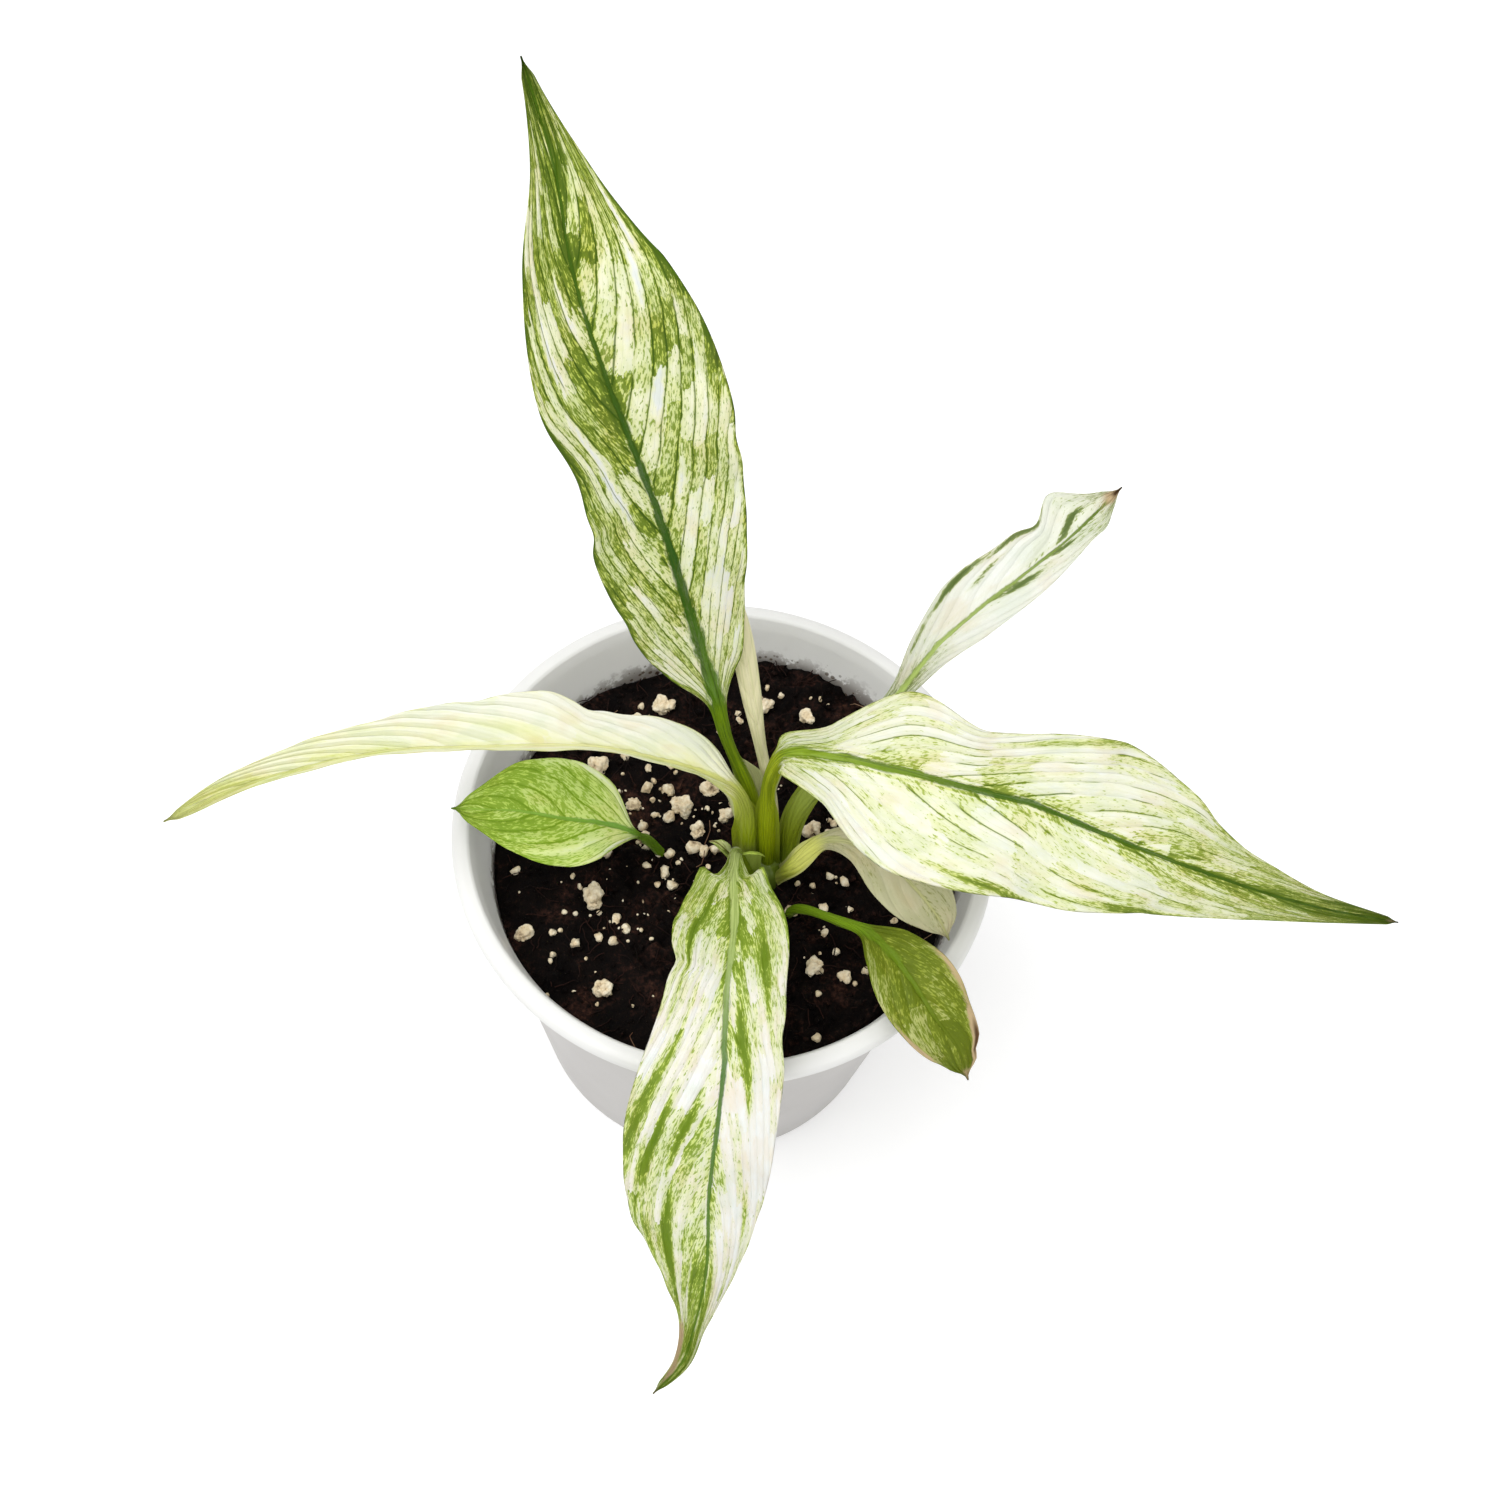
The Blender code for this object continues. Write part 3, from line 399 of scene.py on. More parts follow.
class Blade:
    """The rule that a leaf's surface follows, worked out on a grid of rings and columns."""

    def __init__(self, name, spec):
        stations = np.array(spec["stations"], float)
        steps = np.linalg.norm(np.diff(stations[:, :3], axis=0), axis=1)
        places = np.concatenate([[0.0], np.cumsum(steps)])
        self.whole = places[-1]
        rings = int(self.whole / RING_PITCH)
        self.along = np.linspace(-ROOT, self.whole, rings)
        held = np.maximum(self.along, 0.0)
        track = hermite(stations, places, held)
        ahead = hermite(stations, places, np.minimum(held + 0.1, self.whole))[:, :3]
        behind = hermite(stations, places, np.maximum(held - 0.1, 0.0))[:, :3]
        self.tangent = unit(ahead - behind)
        self.centre = track[:, :3] + self.tangent * (self.along - held)[:, None]
        first, last = (np.array(way, float) for way in spec["face"])
        share = (self.along / self.whole)[:, None]
        face = first * (1 - share) + last * share
        if name in STRAPS:
            way, reach = STRAPS[name]
            turned = np.clip(STRAP_HOLD - STRAP_HOLD * held / reach, 0.0, 1.0)[:, None]
            face = face * (1 - turned) + np.array(way) * turned
        self.side = unit(np.cross(self.tangent, face))
        self.normal = np.cross(self.side, self.tangent)
        point = np.clip((self.whole - self.along) / POINT_LENGTH, POINT_LEAST, 1.0)[:, None]
        self.width = np.maximum(track[:, 3:5], EDGE_LEAST) * point
        self.fold = np.radians(track[:, 5])
        start = places[spec["blade_from"]]
        self.blade = np.clip((self.along - start) / BLADE_BLEND + 0.5, 0.0, 1.0)
        self.stalk = spec["stalk"]
        self.lean = LEANS.get(name, VEIN_LEAN)
        even = np.linspace(-1.0, 1.0, 2 * COLUMNS + 1)
        self.across = 0.5 * even + 0.5 * np.sin(even * math.pi / 2)
        self.spec = spec
        self.ears = EARS.get(name, (0.0, 1.0, 0.0))
        self.cut_notches()
        self.core = self.width.copy()
        for first, last, left, right in SKINS.get(name, ()):
            rise = np.clip((self.along - first) / SKIN_RISE, 0, 1)
            rise = rise * np.clip((last - self.along) / SKIN_FALL, 0, 1)
            self.width[:, 0] += left * rise
            self.width[:, 1] += right * rise

    def cut_notches(self):
        """Draw the margin in where the leaf is nicked or kinked."""
        share = self.along / self.whole
        for place, side, half, deep in self.spec.get("notches", ()):
            column = 0 if side < 0 else 1
            self.width[:, column] *= 1 - deep * bell((share - place) * self.whole, half)

    def sided(self, pair):
        """Over the grid, the first column of a pair left of the midrib and the second right."""
        return np.where(self.across > 0, pair[:, 1:], pair[:, :1])

    def spread(self):
        """Signed distance from the midrib over the grid."""
        return self.across * self.sided(self.width)

    def vein_place(self):
        """Where on the midrib the side vein through each point sets out, in millimetres."""
        reach = np.abs(self.across) * self.width.max()
        lean = self.lean * reach * (1 + np.abs(self.across))
        return self.along[:, None] - lean[None, :]

    def surface(self, up, looks):
        """The upper (up = 1) or under (up = -1) surface as a grid of points."""
        spread = self.spread()
        fold = self.fold[:, None]
        blade = self.blade[:, None]
        taper = np.clip((self.whole - self.along) / TIP_TAPER, TIP_LEAST, 1.0)[:, None]
        half = (self.stalk * (1 - blade) + BLADE_HALF * blade) * taper
        half = np.minimum(half, self.width.max(axis=1)[:, None])
        core = self.sided(self.core)
        inside = np.clip(1 - (spread / core) ** 2, 0.0, 1.0) ** (0.5 * (1 - blade) + 0.15 * blade)
        edge = np.clip(1 - np.abs(self.across), 0.0, 0.2) / 0.2
        body = np.maximum(half * inside, SKIN_HALF * edge ** 0.5)
        lift = (np.hypot(spread, 1.0) - 1.0) * np.sin(fold) + up * body
        lift += 0.35 * np.maximum(np.abs(spread) - core, 0.0) ** 1.5
        left = np.clip(1 - self.along[:, None] / self.whole, 0.0, 1.0)
        rib = self.stalk * blade * (0.25 + 0.75 * left) * taper
        depth, tip_width, more = RIB_ABOVE if up > 0 else RIB_BELOW
        lift -= depth * rib * bell(spread, tip_width + more * left)
        lift += blade * self.quilt(looks) + blade * self.ripple()
        offset = self.side[:, None] * (spread * np.cos(fold))[..., None]
        place, reach, back = self.ears
        sweep = back * bell(self.along - place, reach)[:, None] * np.abs(self.across)[None, :] ** 2
        offset -= self.tangent[:, None] * sweep[..., None]
        return self.centre[:, None] + offset + self.normal[:, None] * lift[..., None]

    def quilt(self, looks):
        """The soft swelling between one side vein and the next."""
        place = self.vein_place() / (looks.vein_pitch / MM)
        swell = np.abs(np.sin(math.pi * place)) ** 0.7 - 0.5
        calm = (
            np.clip(1 - np.abs(self.across), 0, 0.4) / 0.4
            * np.clip(np.abs(self.across) / 0.2, 0, 1)
        )
        wide = np.clip(self.width.max() / QUILT_WIDTH, 0.3, 1.0)
        return looks.quilt / MM * swell * calm[None, :] * wide

    def ripple(self):
        """The waves along both margins."""
        size, pitch, turn = self.spec["wave"]
        rise = np.sin(math.tau * self.along / pitch + turn)
        rise += RIPPLE_SHARE * np.sin(math.tau * self.along / (pitch * RIPPLE_PART) + 2 * turn)
        fade = np.clip((self.width.max(axis=1) - 2) / 8, 0.0, 1.0)
        lean = np.abs(self.across) ** 2.5 * np.where(self.across > 0, 1.0, -0.8)
        return size * (rise * fade)[:, None] * lean[None, :]

    def wash(self):
        """How green each point is, from the wash along the leaf and its patches."""
        knots = np.array(self.spec["wash"], float)
        share = self.along / self.whole
        left = np.interp(share, knots[:, 0], knots[:, 1])[:, None]
        right = np.interp(share, knots[:, 0], knots[:, 2])[:, None]
        mix = np.clip(self.across / MIDRIB_BLUR * 0.5 + 0.5, 0, 1)
        green = left * (1 - mix) + right * mix
        for patch in self.spec.get("patches", ()):
            green = green + self.patch(*patch)
        return green

    def patch(self, place, across, over, along, amount):
        """One spot, drawn out along the side veins."""
        reach = abs(across) * self.width.max()
        start = place * self.whole - self.lean * reach * (1 + abs(across))
        spot = plateau(self.vein_place() - start, over) * plateau(self.across - across, along)
        return amount * spot

    def skin(self):
        """Where the stalk has run out into a thin, pale edge."""
        core = self.sided(self.core)
        past = np.clip((np.abs(self.spread()) - core) / SKIN_EASE, 0.0, 1.0)
        return past * (1 - self.blade[:, None])

    def dry(self):
        """How far each point has gone tan and dry."""
        spread = np.zeros((len(self.along), len(self.across)))
        share = self.along / self.whole
        for place, across, half, wide, amount in self.spec.get("dry", ()):
            lengthwise = bell((share - place) * self.whole, half)[:, None]
            spread += amount * lengthwise * bell(self.across - across, wide)[None, :]
        return spread


def leaf_mesh(name, spec, looks):
    """A closed, thin leaf with its own map and the values its finish reads."""
    blade = Blade(name, spec)
    upper, under = blade.surface(1, looks), blade.surface(-1, looks)
    rings, columns = upper.shape[:2]
    inner = columns - 2
    loop = columns + inner
    points = np.zeros((rings, loop, 3))
    points[:, :columns] = upper
    points[:, columns:] = under[:, -2:0:-1]
    margin = (upper[:, [0, -1]] + under[:, [0, -1]]) / 2
    points[:, 0], points[:, columns - 1] = margin[:, 0], margin[:, 1]
    ends = np.array([points[0].mean(axis=0), points[-1].mean(axis=0)])
    verts = np.concatenate([points.reshape(-1, 3), ends]) * MM
    faces = []
    for ring in range(rings - 1):
        here, there = ring * loop, (ring + 1) * loop
        for spot in range(loop):
            after = (spot + 1) % loop
            faces.append((here + spot, here + after, there + after, there + spot))
    foot, tip, last = rings * loop, rings * loop + 1, (rings - 1) * loop
    for spot in range(loop):
        after = (spot + 1) % loop
        faces.append((foot, after, spot))
        faces.append((tip, last + spot, last + after))
    mesh = bpy.data.meshes.new(name)
    mesh.from_pydata(verts.tolist(), [], faces)
    finish_body(mesh)

    def around(grid):
        """A grid's values in the order of the loop, with those of the two ends."""
        ring_values = np.concatenate([grid, grid[:, -2:0:-1]], axis=1)
        return np.concatenate(
            [ring_values.ravel(), [ring_values[0].mean(), ring_values[-1].mean()]],
        )

    flat = np.ones((rings, columns))
    below = np.concatenate([np.tile([0.0] * columns + [1.0] * inner, rings), [0.0, 0.0]])
    way = (around(flat * blade.along[:, None]), around(blade.spread()), around(blade.vein_place()))
    share = around(flat * (blade.along / blade.whole)[:, None])
    place = (share, around(flat * np.abs(blade.across)), below)
    paint = (around(blade.wash()), around(blade.dry()), around(flat * blade.blade[:, None]))
    skin = (around(blade.skin()),) * 3
    for label, parts in (("way", way), ("place", place), ("paint", paint), ("skin", skin)):
        layer = mesh.attributes.new(label, "FLOAT_VECTOR", "POINT")
        layer.data.foreach_set("vector", np.stack(parts, axis=1).ravel())
    flat_map = mesh.uv_layers.new(name="leaf")
    corner_verts = np.zeros(len(mesh.loops), dtype=np.int32)
    mesh.loops.foreach_get("vertex_index", corner_verts)
    over = around(flat * (blade.across / 2 + 0.5))
    flat_map.data.foreach_set("uv", np.stack([share, over], axis=1)[corner_verts].ravel())
    return mesh


def finish_body(mesh, sharp=None):
    """Turn a closed body's faces outward and shade it smooth."""
    bm = bmesh.new()
    bm.from_mesh(mesh)
    bmesh.ops.recalc_face_normals(bm, faces=bm.faces)
    bm.to_mesh(mesh)
    bm.free()
    mesh.shade_smooth()
    if sharp is not None:
        mesh.set_sharp_from_angle(angle=sharp)


def spun(profile, sides, start=0.0, sweep=math.tau, closed=False):
    """A profile of (radius, height) spun about Z. A closed one makes an arc with capped ends."""
    bm = bmesh.new()
    along = Vector((math.cos(start), math.sin(start), 0.0))
    chain = [bm.verts.new(along * radius + Vector((0, 0, height))) for radius, height in profile]
    links = list(zip(chain, chain[1:]))
    if closed:
        links.append((chain[-1], chain[0]))
    edges = [bm.edges.new(link) for link in links]
    whole = abs(sweep - math.tau) < 1e-06
    bmesh.ops.spin(
        bm, geom=chain + edges, axis=(0, 0, 1), angle=sweep, steps=sides, use_merge=whole,
    )
    if not whole:
        bmesh.ops.holes_fill(bm, edges=[edge for edge in bm.edges if edge.is_boundary])
    bmesh.ops.remove_doubles(bm, verts=bm.verts, dist=WELD / MM)
    return bm


def softened(profile, cut=0.35, most=0.6):
    """A profile with its corners rounded off by short curves."""
    soft = [profile[0]]
    for before, corner, after in zip(profile, profile[1:], profile[2:]):
        before, corner, after = (np.array(spot, float) for spot in (before, corner, after))
        back, on = before - corner, after - corner
        reach = min(most, cut * np.linalg.norm(back), cut * np.linalg.norm(on))
        first = corner + back / np.linalg.norm(back) * reach
        last = corner + on / np.linalg.norm(on) * reach
        for t in (0.0, 0.33, 0.67, 1.0):
            spot = first * (1 - t) ** 2 + corner * 2 * t * (1 - t) + last * t ** 2
            soft.append(tuple(spot))
    soft.append(profile[-1])
    return soft


def wall_radius(height):
    """The pot's outer radius below the lip."""
    return FOOT_RADIUS + (SHOULDER[0] - FOOT_RADIUS) * height / SHOULDER[1]


def soil_waves():
    """The waves that make up the bumps of the mix, as the frame has them."""
    rng = random.Random(SOIL_SEED)
    waves = []
    for _ in range(SOIL_WAVES):
        pitch = rng.uniform(0.12, 0.42)
        turn = rng.uniform(0.0, math.tau)
        size = rng.uniform(0.25, 0.5)
        phase = rng.uniform(0.0, math.tau)
        waves.append((size, pitch * math.cos(turn), pitch * math.sin(turn), phase))
    return waves


def soil_height(x, y, waves):
    """The bumpy top of the mix, calm around the crown."""
    away = math.hypot(x - CROWN_CENTRE[0], y - CROWN_CENTRE[1])
    calm = min(1.0, max(0.0, (away - SOIL_CALM * 0.6) / SOIL_CALM))
    bump = sum(size * math.sin(kx * x + ky * y + phase) for size, kx, ky, phase in waves)
    slope = SOIL_SLOPE * (x - CROWN_CENTRE[0])
    return SOIL_LEVEL + slope + SOIL_BUMP * calm * bump


def as_mesh(name, bm):
    """A plain mesh in metres from bm, which is in millimetres and is freed.

    A merged spin leaves its faces in an order that changes from run to run, and what is scattered
    on them would move with it. So each face starts at its lowest corner and the faces are sorted.
    """
    bm.verts.index_update()
    faces = []
    for face in bm.faces:
        corners = [vert.index for vert in face.verts]
        first = corners.index(min(corners))
        faces.append(corners[first:] + corners[:first])
    mesh = bpy.data.meshes.new(name)
    mesh.from_pydata([vert.co * MM for vert in bm.verts], [], sorted(faces))
    bm.free()
    return mesh


def point_cloud(name, spots, sizes):
    """Loose points in millimetres, each with a size in millimetres, for a tree to work on."""
    mesh = bpy.data.meshes.new(name)
    mesh.from_pydata([tuple(part * MM for part in spot) for spot in spots], [], [])
    layer = mesh.attributes.new("size", "FLOAT", "POINT")
    layer.data.foreach_set("value", [size * MM for size in sizes])
    return mesh


def show(name, mesh, material, slot, *nodes):
    """Put a finished mesh in the scene as a piece that stands for CAD nodes."""
    mesh.materials.clear()
    mesh.materials.append(material)
    piece = bpy.data.objects.new(name, mesh)
    bpy.context.scene.collection.objects.link(piece)
    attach(piece, "root")
    if nodes:
        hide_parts(*nodes)


# --- node trees ------------------------------------------------------------------------------


class Wire:
    """A node's output. Sums written with wires become Math or Vector Math nodes in its tree."""

    def __init__(self, socket):
        self.socket = socket

    def __abs__(self):
        return maths("ABSOLUTE", self)


def sum_maker(operation, swapped):
    """A method that turns an arithmetic sign between wires or numbers into a node."""

    def make(self, other):
        return maths(operation, other, self) if swapped else maths(operation, self, other)

    return make


SIGNS = {"add": "ADD", "sub": "SUBTRACT", "mul": "MULTIPLY", "truediv": "DIVIDE", "pow": "POWER"}
for sign, operation in SIGNS.items():
    setattr(Wire, f"__{sign}__", sum_maker(operation, False))
    setattr(Wire, f"__r{sign}__", sum_maker(operation, True))


def home(*parts):
    """The tree that the first wire among the parts lies in."""
    return next(part.socket.id_data for part in parts if isinstance(part, Wire))


def feed(value, node, key):
    """Give an input a value, or link it to a wire or to another node's first output."""
    if isinstance(value, bpy.types.Node):
        value = Wire(value.outputs[0])
    if isinstance(value, Wire):
        node.id_data.links.new(value.socket, node.inputs[key])
    else:
        node.inputs[key].default_value = value


def add(tree, kind, inputs=None, **settings):
    """A node with its settings and its inputs."""
    node = tree.nodes.new(kind)
    for setting, value in settings.items():
        setattr(node, setting, value)
    for key, value in (inputs or {}).items():
        feed(value, node, key)
    return node


def wire(tree, kind, inputs=None, key=0, **settings):
    """One output of a new node."""
    return Wire(add(tree, kind, inputs, **settings).outputs[key])


def wires(node):
    """All outputs of a node, by name."""
    return {socket.name: Wire(socket) for socket in node.outputs}


def maths(operation, *parts):
    """The result of a Math node, or of a Vector Math node if a part is a vector or a colour."""
    kinds = [part.socket.type if isinstance(part, Wire) else type(part) for part in parts]
    flat = not any(kind in ("VECTOR", "RGBA", tuple) for kind in kinds)
    kind = "ShaderNodeMath" if flat else "ShaderNodeVectorMath"
    return wire(home(*parts), kind, dict(enumerate(parts)), operation=operation)


def step(value, low, high):
    """0 below low, 1 above high and smooth between."""
    inputs = {"Value": value, "From Min": low, "From Max": high}
    return wire(home(value), "ShaderNodeMapRange", inputs, interpolation_type="SMOOTHSTEP")


def spread_over(value, low, high, first, last):
    """A value carried from one range to another."""
    inputs = {"Value": value, "From Min": low, "From Max": high, "To Min": first, "To Max": last}
    return wire(home(value), "ShaderNodeMapRange", inputs)


def blend(share, below, above, mode="MIX"):
    """Two colours mixed. A colour may be three numbers or a wire."""
    below, above = (part if isinstance(part, Wire) else (*part, 1.0) for part in (below, above))
    settings = {"data_type": "RGBA", "blend_type": mode}
    inputs = {0: share, 6: below, 7: above}
    return wire(home(share, below, above), "ShaderNodeMix", inputs, 2, **settings)


def ramp(value, *stops):
    """A colour ramp with stops of (place, colour)."""
    made = add(home(value), "ShaderNodeValToRGB", {"Fac": value})
    points = made.color_ramp.elements
    while len(points) < len(stops):
        points.new(0.5)
    for point, (place, colour) in zip(points, stops):
        point.position = place
        point.color = (*colour, 1.0)
    return Wire(made.outputs["Color"])


def noise(vector, scale, detail=2.0, roughness=0.5):
    """A Noise Texture's value."""
    inputs = {"Vector": vector, "Scale": scale, "Detail": detail, "Roughness": roughness}
    return wire(home(vector), "ShaderNodeTexNoise", inputs)


def cells(vector, scale):
    """A Voronoi Texture's distance."""
    inputs = {"Vector": vector, "Scale": scale}
    return wire(home(vector), "ShaderNodeTexVoronoi", inputs, key="Distance")


def split(vector):
    """The three parts of a vector."""
    return [Wire(part) for part in add(home(vector), "ShaderNodeSeparateXYZ", {0: vector}).outputs]


def join(x, y, z):
    """A vector from three parts."""
    return wire(home(x, y, z), "ShaderNodeCombineXYZ", {0: x, 1: y, 2: z})


def read(tree, name):
    """An attribute of the mesh, as a vector."""
    return wire(tree, "ShaderNodeAttribute", key="Vector", attribute_name=name)


def on_object(tree):
    """The place on the object, in metres."""
    return wire(tree, "ShaderNodeTexCoord", key="Object")


def new_group(name, kind, inputs, outputs):
    """A node group. Returns its tree, the wires of its inputs and the node that takes its outputs.

    Each input is given its default, or the name of its kind if it has none.
    """
    tree = bpy.data.node_groups.new(name, kind)
    for label, value in inputs.items():
        kind = value if isinstance(value, str) else type(value).__name__.capitalize()
        made = tree.interface.new_socket(label, in_out="INPUT", socket_type=f"NodeSocket{kind}")
        if value != kind:
            made.default_value = value
    for label, kind in outputs.items():
        tree.interface.new_socket(label, in_out="OUTPUT", socket_type=f"NodeSocket{kind}")
    return tree, wires(tree.nodes.new("NodeGroupInput")), tree.nodes.new("NodeGroupOutput")


def shader_group(name, inputs, *outputs):
    """A shader group that puts out values."""
    return new_group(name, "ShaderNodeTree", inputs, dict.fromkeys(outputs, "Float"))


def place_group(tree, name, build, inputs):
    """A shader group in a material, built when it is first used. Returns the wires it puts out."""
    group = bpy.data.node_groups.get(name) or build(name)
    return wires(add(tree, "ShaderNodeGroup", inputs, node_tree=group))


def veins_group(name):
    """The midrib, the side veins that sweep towards the tip, and how the blade swells between."""
    tree, given, out = shader_group(
        name,
        {
            "Way": "Vector", "Place": "Vector", "Vein Pitch": 8.0, "Vein Width": 0.16,
            "Presence": 0.6, "Rib at Foot": 1.4, "Rib at Tip": 0.3, "Seed": 0.0,
        },
        "Rib", "Veins", "Near", "Height",
    )
    along, aside, start = split(given["Way"])
    share, reach, _ = split(given["Place"])
    left = spread_over(share, 0.12, 0.95, 1.0, 0.0) ** 1.6
    width = spread_over(left, 0.0, 1.0, given["Rib at Tip"], given["Rib at Foot"])
    fibres = noise(join(along * 0.22, aside, 0.0), 1.0, 4.0, 0.7)
    width = width * spread_over(fibres, 0.3, 0.7, 0.4, 1.4)
    edge = abs(aside) / width
    rib = 1.0 - step(edge, 0.6, 1.1)
    bend = noise(given["Way"], 0.05, 2.0) - 0.5
    count = (start + bend * 8.0) / given["Vein Pitch"]
    wave = abs(maths("SINE", count * math.pi))
    minor = abs(maths("SINE", count * (math.pi * 3)))
    which = maths("FLOOR", count + 0.5) * 7.3
    shift = given["Seed"] + maths("SIGN", aside) * 9.0
    here = noise(join(which, along / 15.0, shift), 1.0, 2.0, 0.6)
    least = 0.78 - given["Presence"] * 0.56
    here = step(here, least, least + 0.07)
    clear = step(edge, 0.8, 1.3)
    here = here * clear * (1.0 - step(reach, 0.86, 1.0))
    line = 1.0 - step(wave, given["Vein Width"] * 0.3, given["Vein Width"])
    fine = 1.0 - step(minor, 0.0, given["Vein Width"])
    line = maths("MAXIMUM", line, fine * 0.2)
    near = (1.0 - step(wave, 0.0, 0.55)) * here
    swell = wave * 0.7 + minor * 0.12
    height = swell + rib * -0.5
    line = line * here
    for label, value in (("Rib", rib), ("Veins", line), ("Near", near), ("Height", height)):
        feed(value, out, label)
    return tree


def variegation_group(name):
    """How green each spot is. Panels lie between the side veins, and fine dashes fill them.

    Green says how green the ground is, and Dashes where the dark flecks on it are, which are
    few where it is pale and close together where it is green.
    """
    tree, given, out = shader_group(
        name,
        {
            "Way": "Vector", "Wash": 0.4, "Panels": 0.3, "Panel Width": 8.0, "Panel Length": 9.0,
            "Drift": 0.5, "Halo": 0.2, "Halo Width": 1.5, "Dash": 0.8, "Dash Width": 1.0,
            "Dash Length": 1.4, "Seed": 0.0,
        },
        "Green", "Dashes", "Grain",
    )
    along, aside, start = split(given["Way"])
    shift = given["Seed"] + maths("SIGN", aside) * 40.0

    def layer(width, length, detail, roughness):
        over = start / width
        down = along / length
        found = noise(join(over, down, shift), 1.0, detail, roughness)
        return (found - 0.5) * 2.0

    grain = layer(given["Dash Width"], given["Dash Length"], 2.0, 0.6)
    blotch = layer(given["Panel Width"] * 0.6, given["Panel Length"] * 0.45, 3.0, 0.6)
    drift = layer(given["Panel Width"] * 3.0, given["Panel Length"] * 3.0, 1.0, 0.5)
    rough = grain * 0.1
    column = start / given["Panel Width"]
    column = maths("FLOOR", column + blotch * 0.35)
    marked = column * 0.37 + shift
    stagger = wire(
        tree, "ShaderNodeTexWhiteNoise", {"W": marked}, key="Value", noise_dimensions="1D",
    )
    row = along / given["Panel Length"] + rough
    row = row + blotch * 0.5
    row = maths("FLOOR", row + stagger * 9.0)
    panel = wire(
        tree, "ShaderNodeTexWhiteNoise", {"Vector": join(column, row, shift)}, key="Value",
        noise_dimensions="3D",
    )
    panel = step(panel, 0.0, 1.0) - 0.5
    panel = panel + blotch * 0.9
    away = abs(aside) / given["Halo Width"]
    halo = given["Halo"] / (1.0 + away ** 2.0)
    beside = join(along * 0.07, aside * 1.6, shift)
    fringe = spread_over(noise(beside, 1.0, 2.0, 0.6), 0.38, 0.62, 0.1, 2.0)
    halo = halo * fringe
    green = given["Wash"] + halo
    for value, amount in ((drift, "Drift"), (panel, "Panels")):
        green = green + value * given[amount]
    chance = grain * given["Dash"] + (green - 0.5)
    feed(green, out, "Green")
    feed(step(chance, -0.06, 0.08), out, "Dashes")
    feed(grain, out, "Grain")
    return tree


def dirt_group(name):
    """Smears and specks of mix, thickest near a height."""
    inputs = {"Position": "Vector", "Height": 0.075, "Reach": 0.006, "Seed": 0.0}
    tree, given, out = shader_group(name, inputs, "Smear", "Specks")
    z = split(given["Position"])[2]
    above = (z - given["Height"]) / given["Reach"]
    near = 1.0 - step(above, 0.0, 1.0)
    moved = given["Position"] + join(given["Seed"], 0.0, 0.0)
    cloud = noise(moved, 260.0, 4.0, 0.65)
    smear = step(cloud + near * 0.28, 0.62, 0.74)
    dots = cells(moved, 620.0)
    chance = noise(moved, 90.0, 1.0)
    limit = chance * near * 0.5
    specks = 1.0 - step(dots - limit, 0.0, 0.06)
    feed(smear * near, out, "Smear")
    feed(specks * near, out, "Specks")
    return tree


def fresh_material(name):
    """A material with a Principled shader. Returns material, tree, shader."""
    material = bpy.data.materials.new(name)
    material.use_nodes = True
    tree = material.node_tree
    return material, tree, tree.nodes["Principled BSDF"]


def dress(shader, colour, roughness, specular=None):
    """Colour and gloss on a shader."""
    feed(colour, shader, "Base Color")
    feed(roughness, shader, "Roughness")
    if specular is not None:
        feed(specular, shader, "Specular IOR Level")


def bump(tree, shader, height, distance, strength=1.0):
    """Feed a height to the shader's Normal through a Bump node."""
    made = add(
        tree, "ShaderNodeBump", {"Height": height, "Strength": strength, "Distance": distance},
    )
    feed(made, shader, "Normal")


def let_light_through(tree, shader, colour, share):
    """Mix in the light that a thin leaf or wall lets through."""
    through = add(tree, "ShaderNodeBsdfTranslucent", {"Color": colour})
    mixed = add(tree, "ShaderNodeMixShader", {0: share, 1: shader, 2: through})
    feed(mixed, tree.nodes["Material Output"], "Surface")


# --- finishes --------------------------------------------------------------------------------


